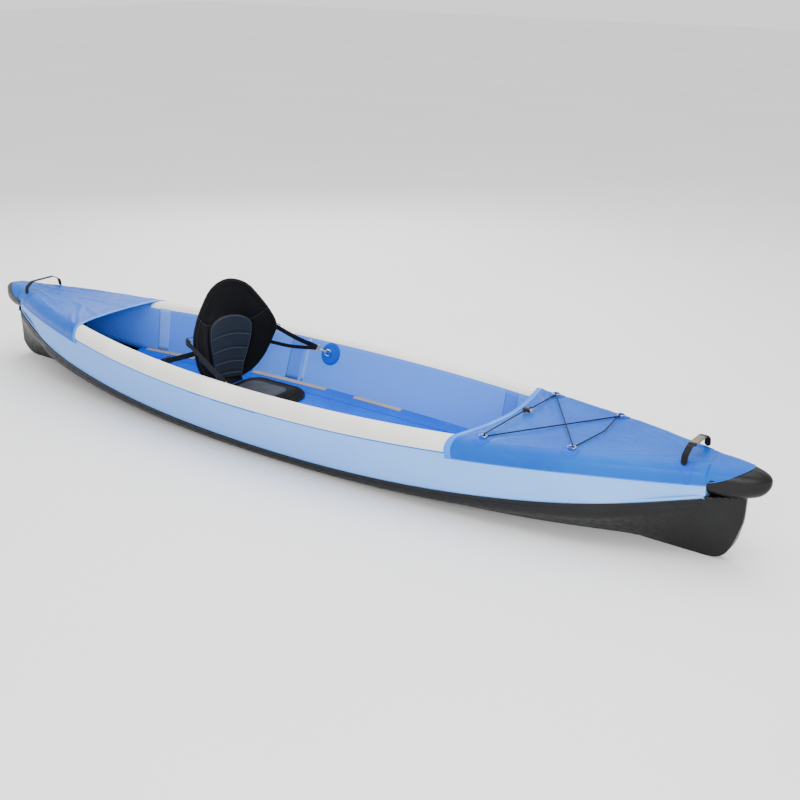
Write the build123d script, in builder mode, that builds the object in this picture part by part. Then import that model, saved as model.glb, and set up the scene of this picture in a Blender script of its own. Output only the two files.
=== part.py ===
from build123d import *
import os
from math import asin, atan2, cos, degrees, hypot, pi, radians, sin, sqrt

os.makedirs("parts", exist_ok=True)

# A drop-stitch inflatable kayak. Millimetres, bow along +X, port along +Y, +Z up.
# The origin is under the middle of the boat, on the ground.

# Overall hull
LENGTH = 4300                 # nose tip to nose tip
BEAM = 908                    # over the side chambers
WALL_TOP = 338                # top of the side chambers amidships
WALL_RISE = 79                # how far their tops climb towards the ends
PANEL_FOOT = 60               # lower edge of the light side panels amidships
PANEL_RISE = 218              # how far that edge climbs towards the ends
FLARE = 23                    # outward lean of the side chambers amidships, degrees
HALF = LENGTH / 2

# Air chambers and skins
WALL = 92                     # thickness of a side chamber
FLOOR = 101                   # thickness of the floor chamber
SHEET = 2.5                   # black bottom sheet
SHEET_GAP = 1.4               # between the bottom sheet and the side chambers
FLOOR_GAP = 1.5               # between the floor chamber and the side chambers
FLOOR_TUCK = 0.24             # floor's round edge inside the flat bottom, per unit of thickness
TAPE = 1.5                    # gunwale tape
DECK = 1.5                    # deck sheet
GAP = 0.3                     # room between separate pieces
FOOT_LAP = 26                 # side chamber below the edge of its light panel
FLAT = BEAM / 2 - 204         # half width of the flat bottom amidships
FLAT_END = HALF - 490         # where the flat bottom runs out into the stem
KEEL = 34                     # width of a stem's keel
CHAMBER_CLEAR = 1.94          # each side chamber off the middle plane where they end

# Decks
BOW_DECK = 1165               # nose tip to the deck's edge at the gunwale
STERN_DECK = 920
DECK_DIP = 60                 # how far a deck's edge is cut back in the middle
DECK_LAP = 25                 # how far a deck comes down over the light panel
DECK_COVER = 40               # how far a deck covers the gunwale tape

# Handles
HANDLE_INSET = 295            # handle to nose tip
HANDLE_SPAN = 224             # between a handle's pivots
HANDLE_RISE = 48              # arch above the pivots
WEBBING = 25                  # width of the webbing
WEB_THICK = 2.4               # thickness of the webbing

# Bungee and its rings
CORD = 5                      # bungee diameter
ROD = 4                       # wire of every D-ring
RING_WIDE = 24                # opening of a D-ring along its bar
RING_DEEP = 22                # from its bar to its far wire
BUNGEE_AFT = HALF - 1040      # stations of the bow rings
BUNGEE_FORE = HALF - 700
PATCH = 36                    # radius of a bow ring patch
PATCH_THICK = 1.6

# Seat
HINGE_X = -518                # pivot between the base and the backrest
HINGE_RISE = 7.9              # pivot above the base
SEAT_WIDE = 370
SEAT_LONG = 365
SEAT_THICK = 38
PAD_THICK = 2.5               # non-slip pad on the base
PANEL_THICK = 8               # channelled panel on the backrest
BACK_HALF = 213               # half width at the shoulders
BACK_HIGH = 512
BACK_THICK = 40
BACK_BOW = 270                # radius of the backrest's curve, seen from above
BACK_LEAN = 0.14              # forward lean per unit of height
BACK_TURN = -20               # the straps pull the backrest round, port wing forward, degrees
FRONT_RING_X = -156           # stations of the seat rings on the side walls
FRONT_RING_Z = 270
REAR_RING_X = -770
REAR_RING_Z = 255
SEAT_PATCH = 55               # radius of a seat ring patch

# Valves
VALVE_NECK = 22               # outer radius of the neck
VALVE_BORE = 18
VALVE_FLANGE = 31
VALVE_DEPTH = 40              # from the chamber's face to the valve's seat
VALVE_TRAVEL = 5
SIDE_VALVE_X = -690
SIDE_VALVE_Z = 190
FLOOR_VALVE_X = -1000
FLOOR_VALVE_Y = -90


def save(part, name):
    part.label = name
    export_step(part, f"parts/{name}.step")
    return part


# Hull lines, each a function of the station x


FULLNESS = 2.14
TAPER = 0.97


def half_beam(x):
    return BEAM / 2 * (1 - abs(x / HALF) ** FULLNESS) ** TAPER


def station_of(half_width):
    """The station where the boat is that wide."""
    return HALF * (1 - (half_width / (BEAM / 2)) ** (1 / TAPER)) ** (1 / FULLNESS)


CHAMBER_END = station_of(WALL + CHAMBER_CLEAR)
NOSE = HALF - CHAMBER_END - 1  # length of a nose cap


def wall_top(x):
    u = (x / HALF) ** 2
    return WALL_TOP + WALL_RISE * u * (1 - 0.29 * u)


def panel_foot(x):
    u = (x / HALF) ** 2
    return PANEL_FOOT + PANEL_RISE * u * (1 + 0.18 * u)


def flare(x):
    return radians(max(0, FLARE * (1 - 2.05 * (x / HALF) ** 2)))


def wall_point(x, out, up):
    """Port wall: out along its outward normal, up along the wall, from its top round's centre."""
    lean = flare(x)
    y = half_beam(x) - WALL / 2 + out * cos(lean) + up * sin(lean)
    z = wall_top(x) - WALL / 2 - out * sin(lean) + up * cos(lean)
    return y, z


def wall_foot(x):
    """Distance down the wall to the centre of its lower round."""
    lean = flare(x)
    edge = wall_top(x) - WALL / 2 - WALL / 2 * sin(lean)
    return (panel_foot(x) - edge) / cos(lean) - FOOT_LAP


def flat_half(x):
    return max(KEEL / 2, FLAT * (1 - abs(x / FLAT_END) ** 3))


def floor_half(x):
    """Half width of the floor chamber, which lies between the side chambers."""
    y, z = wall_point(x, 0, wall_foot(x))
    rise = z - SHEET - GAP - FLOOR / 2
    touch = (WALL + FLOOR) / 2 + FLOOR_GAP
    beside_wall = y - sqrt(max(0, touch ** 2 - rise ** 2)) + FLOOR / 2
    return min(beside_wall, flat_half(x) + FLOOR / 2 - FLOOR * FLOOR_TUCK)


def stations(start, end, count):
    return [start + (end - start) * i / (count - 1) for i in range(count)]


def both_sides(points):
    """A port outline, bottom to top, and its mirror image."""
    return points, [(-y, z) for y, z in points]


# Air chambers


def wall_loft(side, grow, end):
    with BuildPart() as wall:
        for x in stations(-end, end, 17):
            foot = wall_foot(x)
            y, z = wall_point(x, 0, foot / 2)
            turn = 90 - side * degrees(flare(x))
            with BuildSketch(Plane.YZ.offset(x)):
                with Locations((side * y, z)):
                    SlotCenterToCenter(-foot, WALL + 2 * grow, rotation=turn)
        loft()
    return wall.part


def wall_plane(x, z, side):
    """Plane on a side chamber's inner face, its normal pointing into the cockpit."""
    lean = flare(x)
    up = (z - wall_point(x, -WALL / 2, 0)[1]) / cos(lean)
    y = wall_point(x, -WALL / 2, up)[0]
    along = (wall_point(x + 5, -WALL / 2, up)[0] - wall_point(x - 5, -WALL / 2, up)[0]) / 10
    forward = Vector(1, side * along, 0).normalized()
    upward = Vector(0, side * sin(lean), cos(lean))
    normal = forward.cross(upward) * side
    inward = normal if normal.Y * side < 0 else normal * -1
    return Plane(origin=(x, side * y, z), x_dir=forward, z_dir=inward)


def turned(plane, outline):
    """A solid of revolution about the plane's normal; the outline gives radius and height."""
    with BuildPart() as piece:
        with BuildSketch(Plane(origin=plane.origin, x_dir=plane.x_dir, z_dir=plane.y_dir * -1)):
            with BuildLine():
                Polyline(*outline, close=True)
            make_face()
        revolve(axis=Axis(plane.origin, plane.z_dir))
    return piece.part


valve_planes = {
    "left": wall_plane(SIDE_VALVE_X, SIDE_VALVE_Z, 1),
    "right": wall_plane(SIDE_VALVE_X, SIDE_VALVE_Z, -1),
    "floor": Plane(origin=(FLOOR_VALVE_X, FLOOR_VALVE_Y, SHEET + GAP + FLOOR)),
}
SKIN = 2                      # chamber skin held between a valve's flange and its nut
NUT = 6                       # thickness of the nut behind the skin


def valve_pocket(plane):
    """The hole through the skin and the room behind it."""
    hole = VALVE_NECK + GAP
    room = VALVE_FLANGE + GAP
    depth = VALVE_DEPTH + VALVE_TRAVEL + 7
    outline = [(0, 2), (hole, 2), (hole, -SKIN), (room, -SKIN), (room, -depth), (0, -depth)]
    return turned(plane, outline)


def side_chamber(side, name):
    wall = wall_loft(side, 0, CHAMBER_END)
    pocket = valve_pocket(valve_planes[name])
    with BuildPart() as chamber:
        add(wall)
        add(pocket, mode=Mode.SUBTRACT)
    return save(chamber.part, f"side_chamber_{name}")


side_chamber(1, "left")
side_chamber(-1, "right")

floor_end = FLAT_END - 60
floor_pocket = valve_pocket(valve_planes["floor"])
with BuildPart() as floor_chamber:
    for x in stations(-floor_end, floor_end, 17):
        with BuildSketch(Plane.YZ.offset(x)):
            with Locations((0, SHEET + GAP + FLOOR / 2)):
                SlotOverall(2 * floor_half(x), FLOOR)
    loft()
    add(floor_pocket, mode=Mode.SUBTRACT)
save(floor_chamber.part, "floor_chamber")


# Black bottom: a sheet round the lower edges, and a solid stem at each end


def bottom_outline(x, offset, base, extra):
    """Port half of a bottom section, from the panel's edge down to the flat bottom."""
    radius = WALL / 2 + offset
    foot = wall_foot(x)
    centre_y, centre_z = wall_point(x, 0, foot)
    flat_y = flat_half(x)
    run = hypot(centre_y - flat_y, centre_z - base)
    slope = atan2(centre_z - base, centre_y - flat_y) - asin(radius / run)
    lean = flare(x)
    middle = (slope - lean + radians(90)) / 2 - radians(90)
    edge = wall_point(x, radius, foot + FOOT_LAP + extra)
    start = wall_point(x, radius, foot)
    half_way = (centre_y + radius * cos(middle), centre_z + radius * sin(middle))
    end = (centre_y + radius * sin(slope), centre_z - radius * cos(slope))
    return [edge, start, half_way, end, (flat_y, base)]


def bottom_form(first, last, count, offset, base, extra):
    with BuildPart() as form:
        for x in stations(first, last, count):
            port, starboard = both_sides(bottom_outline(x, offset, base, extra))
            with BuildSketch(Plane.YZ.offset(x)):
                with BuildLine():
                    for edge, start, half_way, end, flat in (port, starboard):
                        Line(edge, start)
                        ThreePointArc(start, half_way, end)
                        Line(end, flat)
                    Line(port[4], starboard[4])
                    Line(port[0], starboard[0])
                make_face()
        loft()
    return form.part


outer_form = bottom_form(-FLAT_END, FLAT_END, 21, SHEET_GAP + SHEET, -1, 0)
inner_form = bottom_form(-FLAT_END - 5, FLAT_END + 5, 21, SHEET_GAP, SHEET, 30)
with BuildPart() as bottom_sheet:
    add(outer_form)
    split(bisect_by=Plane.XY)
    add(inner_form, mode=Mode.SUBTRACT)
save(bottom_sheet.part, "bottom_sheet")

nose_start = HALF - NOSE
NOSE_FLOOR = 272              # underside of a nose cap
STEM_STEP = 6                 # step between the sheet and the stem's keel
STEM_REACH = HALF - 84        # foremost point of a stem
STEM_TOE = HALF - 218         # where the keel starts to curve up
STEM_CHEEK = 52               # half width of a stem between the chambers' ends and its front
STEM_TIP = 7                  # half width of its front edge
stem_top = NOSE_FLOOR - 3
stem_root = half_beam(nose_start) + 10


def stem(end, name):
    form = bottom_form(end * (FLAT_END + GAP), end * STEM_REACH, 9, SHEET_GAP + SHEET, 0, 0)
    grooves = [wall_loft(side, GAP, CHAMBER_END + GAP) for side in (1, -1)]
    with BuildPart() as body:
        add(form)
        with BuildSketch(Plane.XZ):
            with BuildLine():
                Polyline(
                    (end * nose_start, WALL_TOP * 2),
                    (end * FLAT_END, WALL_TOP * 2),
                    (end * FLAT_END, STEM_STEP),
                    (end * (FLAT_END + 45), 0),
                    (end * STEM_TOE, 0),
                )
                Spline(
                    (end * STEM_TOE, 0),
                    (end * (STEM_REACH - 34), 62),
                    (end * (STEM_REACH - 10), 140),
                    (end * STEM_REACH, stem_top),
                    tangents=((end, 0), (0, 1)),
                )
                Line((end * STEM_REACH, stem_top), (end * nose_start, stem_top))
                Line((end * nose_start, stem_top), (end * nose_start, WALL_TOP * 2))
            make_face()
        extrude(amount=BEAM, both=True, mode=Mode.INTERSECT)
        with BuildSketch(Plane.XY):
            with BuildLine():
                for side in (1, -1):
                    Spline(
                        (end * nose_start, side * stem_root),
                        (end * (nose_start + STEM_REACH) / 2, side * STEM_CHEEK),
                        (end * STEM_REACH, side * STEM_TIP),
                    )
                    Line((end * nose_start, side * stem_root), (end * FLAT_END, side * BEAM))
                for x, y in ((STEM_REACH, STEM_TIP), (FLAT_END, BEAM)):
                    Line((end * x, y), (end * x, -y))
            make_face()
        extrude(amount=WALL_TOP, mode=Mode.INTERSECT)
        add(grooves, mode=Mode.SUBTRACT)
    return save(body.part, name)


stem(1, "bow_stem")
stem(-1, "stern_stem")


# Nose caps


def nose_cap(end, name):
    top = wall_top(nose_start) + 2 * TAPE
    tip = 351
    with BuildPart() as cap:
        for s in (0, 0.3, 0.55, 0.72, 0.84, 0.92, 0.97, 0.995):
            width = 2 * (half_beam(nose_start) + 2) * (1 - s ** 1.6) ** 0.6
            shrink = sqrt(1 - s ** 5)
            high = tip + (top - tip) * shrink
            low = tip - (tip - NOSE_FLOOR) * shrink
            with BuildSketch(Plane.YZ.offset(end * (nose_start + NOSE * s))):
                with Locations((0, (high + low) / 2)):
                    RectangleRounded(width, high - low, 0.44 * min(width, high - low))
        loft()
    return save(cap.part, name)


nose_cap(1, "bow_nose_cap")
nose_cap(-1, "stern_nose_cap")


# Gunwale tapes and decks


TAPE_EDGE = radians(16)        # how far up its round a tape stops on the cockpit side


def gunwale_tape(side):
    inner = WALL / 2 + GAP / 3
    outer = inner + TAPE
    first = -(HALF - STERN_DECK) - DECK_COVER
    last = HALF - BOW_DECK + DECK_COVER
    with BuildPart() as tape:
        for x in stations(first, last, 13):
            lean = flare(x)
            centre_y, centre_z = wall_point(x, 0, 0)
            top = (sin(lean), cos(lean))
            with BuildSketch(Plane.YZ.offset(x)):
                with BuildLine():
                    for radius in (inner, outer):
                        out_y, out_z = wall_point(x, radius, 0)
                        in_y, in_z = wall_point(x, -radius * cos(TAPE_EDGE), radius * sin(TAPE_EDGE))
                        crown = (side * (centre_y + radius * top[0]), centre_z + radius * top[1])
                        ThreePointArc((side * out_y, out_z), crown, (side * in_y, in_z))
                    for edge in (0, pi - TAPE_EDGE):
                        near_y, near_z = wall_point(x, inner * cos(edge), inner * sin(edge))
                        far_y, far_z = wall_point(x, outer * cos(edge), outer * sin(edge))
                        Line((side * near_y, near_z), (side * far_y, far_z))
                make_face()
        loft()
    return tape.part


tapes = [gunwale_tape(side) for side in (1, -1)]
with BuildPart() as gunwale_tapes:
    add(tapes)
save(gunwale_tapes.part, "gunwale_tapes")

DECK_INSIDE = GAP / 3 + TAPE + GAP / 3      # a deck's inner face off the chambers
DECK_OUTSIDE = DECK_INSIDE + DECK


def deck_form(end, length, offset, lap):
    radius = WALL / 2 + offset
    with BuildPart() as form:
        for x in stations(end * (HALF - length - 30), end * CHAMBER_END, 13):
            lean = flare(x)
            centre_y, centre_z = wall_point(x, 0, 0)
            low = wall_point(x, radius, -lap)
            side_on = wall_point(x, radius, 0)
            middle = (radians(90) - lean) / 2
            shoulder = (centre_y + radius * cos(middle), centre_z + radius * sin(middle))
            port, starboard = both_sides([low, side_on, shoulder, (centre_y, centre_z + radius)])
            with BuildSketch(Plane.YZ.offset(x)):
                with BuildLine():
                    for bottom, face, bend, top in (port, starboard):
                        Line(bottom, face)
                        ThreePointArc(face, bend, top)
                    Line(port[3], starboard[3])
                    Line(port[0], starboard[0])
                make_face()
        loft()
    return form.part


def deck_shell(end, length, inside, outside):
    outer = deck_form(end, length, outside, DECK_LAP)
    inner = deck_form(end, length, inside, DECK_LAP + 20)
    with BuildPart() as shell:
        add(outer)
        add(inner, mode=Mode.SUBTRACT)
    return shell.part


def deck(end, length, name):
    edge = HALF - length
    chord = half_beam(edge)
    radius = (chord ** 2 + DECK_DIP ** 2) / (2 * DECK_DIP)
    shell = deck_shell(end, length, DECK_INSIDE, DECK_OUTSIDE)
    with BuildPart() as sheet:
        add(shell)
        with BuildSketch(Plane.XY):
            with Locations((end * (edge + DECK_DIP - radius), 0)):
                Circle(radius)
        extrude(amount=WALL_TOP * 2, mode=Mode.SUBTRACT)
    return save(sheet.part, name)


deck(1, BOW_DECK, "bow_deck")
deck(-1, STERN_DECK, "stern_deck")


# Patches on the decks follow the deck's surface


def deck_patches(end, length, places, shape):
    inside = DECK_OUTSIDE + GAP / 3
    shell = deck_shell(end, length, inside, inside + PATCH_THICK)
    with BuildPart() as skin:
        add(shell)
        with BuildSketch(Plane.XY.offset(WALL_TOP - WALL / 3)):
            with Locations(*places):
                shape()
        extrude(amount=WALL_TOP, mode=Mode.INTERSECT)
    return skin.part


def deck_top(x):
    return wall_top(x) + DECK_OUTSIDE


PATCH_TOP = GAP / 3 + PATCH_THICK           # a patch's upper face above its deck


# D-rings


def ring(plane):
    """A D-ring: its bar lies on the plane's Y, its far wire out along the plane's X."""
    wide = RING_WIDE / 2 + ROD / 2
    corners = [(0, -wide), (RING_DEEP, -wide), (RING_DEEP, wide), (0, wide)]
    with BuildPart() as wire:
        with BuildLine(plane):
            outline = FilletPolyline(*corners, radius=5, close=True)
        with BuildSketch(Plane(origin=outline @ 0, z_dir=outline % 0)):
            Circle(ROD / 2)
        sweep()
    return wire.part


def keeper(plane, depth):
    """The webbing loop that holds a ring's bar on its patch, depth below the bar."""
    wrap = ROD / 2 + GAP + 1.2
    with BuildPart() as loop:
        with BuildSketch(Plane(origin=plane.origin, x_dir=plane.x_dir, z_dir=plane.y_dir * -1)):
            Circle(wrap)
            with Locations((0, -depth / 2)):
                Rectangle(2 * wrap, depth)
            Circle(ROD / 2 + GAP, mode=Mode.SUBTRACT)
        extrude(amount=RING_WIDE / 2 - 3, both=True)
    return loop.part


BAR_HIGH = ROD / 2 + CORD + 2 * GAP         # a ring's bar above its patch
KEEPER_ROOT = 0.5                           # how far a keeper goes into its patch
ring_places = {
    "aft_left": (BUNGEE_AFT, 1),
    "aft_right": (BUNGEE_AFT, -1),
    "fore_left": (BUNGEE_FORE, 1),
    "fore_right": (BUNGEE_FORE, -1),
}


def bow_ring_spot(place):
    x, side = ring_places[place]
    y = half_beam(x) - WALL / 2
    return x, side * y, deck_top(x) + PATCH_TOP + BAR_HIGH


def bow_ring_plane(place):
    """A bow ring lies flat over its deck and points to the middle of the boat."""
    x, y, z = bow_ring_spot(place)
    inward = -1 if y > 0 else 1
    return Plane(origin=(x, y, z), x_dir=(0, inward, 0), z_dir=(0, 0, 1))


ring_spots = [bow_ring_spot(place)[:2] for place in ring_places]
ring_discs = deck_patches(1, BOW_DECK, ring_spots, lambda: Circle(PATCH))
ring_keepers = [keeper(bow_ring_plane(place), BAR_HIGH + KEEPER_ROOT) for place in ring_places]
for place in ring_places:
    save(ring(bow_ring_plane(place)), f"bow_ring_{place}")


# Bungee: one cord round the far wire of each ring, its two ends in a cord lock

WRAP = ROD / 2 + CORD / 2 + GAP             # cord's centre line off a ring's wire
LOCK_Y = 50
LOCK_SPLIT = 4.5                            # each cord off the lock's middle
LOCK_WIDE = 20                              # lock's outside diameter
TAIL = 24                                   # cord beyond the lock
lock_z = deck_top(BUNGEE_AFT) + LOCK_WIDE / 2 + 1


def turn_round(place, enters):
    """Two points that take the cord round a ring's far wire, entering above or below it."""
    x, y, z = bow_ring_spot(place)
    side = 1 if y > 0 else -1
    outward = y - side * (RING_DEEP - WRAP)
    first = (x, outward, z + enters * WRAP)
    second = (x, outward, z - enters * WRAP)
    return [first, second]


fore_bow = (BUNGEE_FORE + 26, 10, deck_top(BUNGEE_FORE + 26) + 8)
bungee_route = [
    (BUNGEE_AFT - LOCK_SPLIT, LOCK_Y + LOCK_WIDE / 2 + TAIL, lock_z),
    (BUNGEE_AFT - LOCK_SPLIT, LOCK_Y - LOCK_WIDE / 2 - 10, lock_z),
    *turn_round("aft_right", 1),
    *turn_round("fore_left", -1),
    fore_bow,
    *turn_round("fore_right", -1),
    *turn_round("aft_left", 1),
    (BUNGEE_AFT + LOCK_SPLIT, LOCK_Y + LOCK_WIDE / 2 + 10, lock_z),
    (BUNGEE_AFT + LOCK_SPLIT, LOCK_Y - LOCK_WIDE / 2 - TAIL, lock_z),
]
ring_turn = WRAP * 0.96
bungee_bends = [60] + [ring_turn] * 4 + [120] + [ring_turn] * 4 + [60]
with BuildPart() as bungee_cord:
    with BuildLine():
        bungee_line = FilletPolyline(*bungee_route, radius=bungee_bends)
    with BuildSketch(Plane(origin=bungee_line @ 0, z_dir=bungee_line % 0)):
        Circle(CORD / 2)
    sweep(path=bungee_line)
save(bungee_cord.part, "bungee_cord")
print("bungee", round(bungee_line.length), "mm, bends", bungee_bends)

LOCK_LONG = 32
LOCK_BORE = 6.4               # radius of the lock's bore
BUTTON_TRAVEL = 4
lock_start = BUNGEE_AFT - 18
slot_long = 2 * LOCK_SPLIT + CORD + 2 * GAP
button_start = BUNGEE_AFT - slot_long / 2 - BUTTON_TRAVEL
lock_axis = Plane(origin=(0, LOCK_Y, lock_z), x_dir=(0, 1, 0), z_dir=(1, 0, 0))
with BuildPart() as cord_lock_body:
    with BuildSketch(lock_axis.offset(lock_start)):
        Circle(LOCK_WIDE / 2)
    extrude(amount=LOCK_LONG)
    fillet(cord_lock_body.edges().filter_by(GeomType.CIRCLE), 1.5)
    with BuildSketch(lock_axis.offset(lock_start + 2)):
        Circle(LOCK_BORE)
    extrude(amount=LOCK_LONG, mode=Mode.SUBTRACT)
    with BuildSketch(Plane.XZ.offset(-LOCK_Y)):
        with Locations((BUNGEE_AFT, lock_z)):
            SlotOverall(slot_long, CORD + 2 * GAP)
    extrude(amount=LOCK_WIDE, both=True, mode=Mode.SUBTRACT)
save(cord_lock_body.part, "cord_lock_body")

with BuildPart() as cord_lock_button:
    with BuildSketch(lock_axis.offset(button_start)):
        Circle(LOCK_BORE - 0.08)
    extrude(amount=lock_start + LOCK_LONG + BUTTON_TRAVEL + 1 - button_start)
    with BuildSketch(lock_axis.offset(lock_start + LOCK_LONG + BUTTON_TRAVEL + 0.5)):
        Circle(LOCK_WIDE / 2 - 1.5)
    extrude(amount=4)
    with BuildSketch(Plane.XZ.offset(-LOCK_Y)):
        with Locations((BUNGEE_AFT + BUTTON_TRAVEL / 2, lock_z)):
            SlotOverall(slot_long + BUTTON_TRAVEL + 2, CORD + 3 * GAP)
    extrude(amount=LOCK_WIDE, both=True, mode=Mode.SUBTRACT)
save(cord_lock_button.part, "cord_lock_button")


def spring(start, height, pitch, radius, wire, direction):
    with BuildPart() as coil:
        with BuildLine():
            turns = Helix(pitch, height, radius, center=start, direction=direction)
        with BuildSketch(Plane(origin=turns @ 0, z_dir=turns % 0)):
            Circle(wire)
        sweep()
    return coil.part


spring_room = button_start - lock_start - 2
spring_start = (lock_start + 2.7, LOCK_Y, lock_z)
lock_coil = spring(spring_start, spring_room - 1.4, 1.5, LOCK_BORE - 1.6, 0.5, (1, 0, 0))
save(lock_coil, "cord_lock_spring")


# Handles


def deck_height(x, y):
    centre_y, centre_z = wall_point(x, 0, 0)
    radius = WALL / 2 + DECK_OUTSIDE
    beyond = max(0, abs(y) - centre_y)
    return centre_z + sqrt(max(0, radius ** 2 - beyond ** 2))


handle_x = HALF - HANDLE_INSET
handle_z = deck_height(handle_x, HANDLE_SPAN / 2) + PATCH_TOP + WEBBING / 2 + 3


def handle_strap(x):
    half = HANDLE_SPAN / 2
    top = handle_z + HANDLE_RISE
    port = [(half, handle_z - WEBBING / 2), (half - 6, handle_z + 24), (half - 44, top)]
    starboard = [(-y, z) for y, z in reversed(port)]
    with BuildPart() as strap:
        with BuildSketch(Plane.YZ.offset(x)):
            with BuildLine() as arch:
                FilletPolyline(*port, *starboard, radius=22)
            trace(arch.line, line_width=WEB_THICK)
        extrude(amount=WEBBING / 2, both=True)
        with BuildSketch(Plane.XZ):
            with Locations((x, handle_z + HANDLE_RISE)):
                SlotOverall(2 * HANDLE_RISE + WEBBING, WEBBING, rotation=90)
        extrude(amount=BEAM, both=True, mode=Mode.INTERSECT)
    return strap.part


save(handle_strap(handle_x), "bow_handle_strap")
save(handle_strap(-handle_x), "stern_handle_strap")

GRIP_LONG = 104
with BuildPart() as bow_handle_grip:
    with BuildSketch(Plane.XZ):
        with Locations((handle_x, handle_z + HANDLE_RISE)):
            RectangleRounded(WEBBING + 8, 12, 5.5)
            Rectangle(WEBBING + 0.4, WEB_THICK + 0.4, mode=Mode.SUBTRACT)
    extrude(amount=GRIP_LONG / 2, both=True)
save(bow_handle_grip.part, "bow_handle_grip")

foot_patches = []
for end, length in ((1, BOW_DECK), (-1, STERN_DECK)):
    feet = [(end * handle_x, side * (HANDLE_SPAN / 2 - 8)) for side in (1, -1)]
    foot_patches.append(deck_patches(end, length, feet, lambda: RectangleRounded(64, 46, 8)))
with BuildPart() as deck_patch_set:
    add(ring_discs)
    add(ring_keepers)
    add(foot_patches)
save(deck_patch_set.part, "deck_patches")


# Valves: a body through the chamber's skin, held by a nut inside, with a sprung plunger and a cap

WEB_DEPTH = 17                # the plunger's guide below the chamber's face
HEAD_DEPTH = 5                # the plunger's head below the chamber's face
STEM = 3                      # radius of the plunger's stem


def valve_body(plane):
    bore, neck, flange = VALVE_BORE, VALVE_NECK, VALVE_FLANGE
    low = -VALVE_DEPTH
    shell = [(bore, -WEB_DEPTH), (bore, 7), (bore + 5, 7), (bore + 5, 3), (flange - 2, 3)]
    shell += [(flange, 1.5), (flange, GAP), (neck, GAP), (neck, low), (bore - 4, low)]
    shell += [(bore - 4, low + 3), (bore, low + 3), (bore, -WEB_DEPTH - 3)]
    shell += [(STEM + 0.08, -WEB_DEPTH - 3), (STEM + 0.08, -WEB_DEPTH)]
    solid = turned(plane, shell)
    with BuildPart() as body:
        add(solid)
        with BuildSketch(plane.offset(-WEB_DEPTH + 1)):
            with PolarLocations(bore / 2 + 2, 3):
                Circle(4.5)
        extrude(amount=-5, mode=Mode.SUBTRACT)
    return body.part


def valve_plunger(plane):
    seat = -VALVE_DEPTH - GAP
    head = -HEAD_DEPTH
    outline = [(0, head), (7, head), (7, head - 3), (STEM, head - 3), (STEM, seat)]
    outline += [(VALVE_BORE - 2, seat), (VALVE_BORE - 2, seat - 3), (0, seat - 3)]
    return turned(plane, outline)


def valve_cap(plane):
    inner = VALVE_BORE + 5 + GAP
    outline = [(0, 7 + GAP), (inner, 7 + GAP), (inner, 3 + GAP), (inner + 4, 3 + GAP)]
    outline += [(inner + 4, 9), (inner + 2, 11), (0, 11)]
    solid = turned(plane, outline)
    with BuildPart() as cap:
        add(solid)
        with BuildSketch(plane.offset(10.5)):
            SlotOverall(2 * inner, 7)
        extrude(amount=4.5)
    return cap.part


def valve_nut(plane):
    inner, outer = VALVE_NECK + GAP, VALVE_FLANGE - GAP
    top = -SKIN - GAP
    return turned(plane, [(inner, top), (outer, top), (outer, top - NUT), (inner, top - NUT)])


nuts = [valve_nut(plane) for plane in valve_planes.values()]
with BuildPart() as valve_nuts:
    add(nuts)
save(valve_nuts.part, "valve_nuts")

for name, plane in valve_planes.items():
    save(valve_body(plane), f"valve_body_{name}")
    save(valve_plunger(plane), f"valve_plunger_{name}")
    save(valve_cap(plane), f"valve_cap_{name}")
    coil_start = plane.origin - plane.z_dir * (WEB_DEPTH - 0.8)
    coil = spring(coil_start, WEB_DEPTH - HEAD_DEPTH - 4.6, 2.2, 4.8, 0.5, plane.z_dir)
    save(coil, f"valve_spring_{name}")


# Seat

floor_top = SHEET + GAP + FLOOR
seat_top = floor_top + GAP + SEAT_THICK
seat_back = HINGE_X + 8
HINGE_Z = seat_top + HINGE_RISE
with BuildPart() as seat_base:
    with BuildSketch(Plane.XZ):
        with BuildLine():
            Polyline(
                (seat_back, floor_top + GAP),
                (seat_back + SEAT_LONG, floor_top + GAP),
                (seat_back + SEAT_LONG, floor_top + 10),
                (seat_back + SEAT_LONG - 45, seat_top),
                (seat_back, seat_top),
                close=True,
            )
        make_face()
    extrude(amount=SEAT_WIDE / 2, both=True)
    with BuildSketch(Plane.XY):
        with Locations((seat_back + SEAT_LONG / 2, 0)):
            RectangleRounded(SEAT_LONG, SEAT_WIDE, 60)
    extrude(amount=WALL_TOP, mode=Mode.INTERSECT)
save(seat_base.part, "seat_base")

PAD_LONG = 240
with BuildPart() as seat_base_pad:
    with BuildSketch(Plane.XY.offset(seat_top + GAP)):
        with Locations((seat_back + SEAT_LONG / 2 - 8, 0)):
            RectangleRounded(PAD_LONG, SEAT_WIDE * 0.62, 40)
    extrude(amount=PAD_THICK)
save(seat_base_pad.part, "seat_base_pad")

BACK_FOOT = 8                 # backrest's lower edge above the pivot
back_low = HINGE_Z + BACK_FOOT


def back_outline(shrink, low, high):
    """Front view of the backrest: wide shoulders, a domed top and a narrow foot."""
    wide = BACK_HALF - shrink
    half = [(0.33, 0), (0.60, 0.08), (0.80, 0.21), (0.94, 0.39), (1, 0.53), (0.90, 0.66)]
    half += [(0.68, 0.81), (0.40, 0.945)]
    tall = high - low
    port = [(wide * y, low + tall * z) for y, z in half]
    starboard = [(-y, z) for y, z in reversed(port)]
    with BuildSketch(Plane.YZ) as face:
        with BuildLine():
            Spline(*port, (0, high), *starboard)
            Line(starboard[-1], port[0])
        make_face()
    return face.sketch_local


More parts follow.
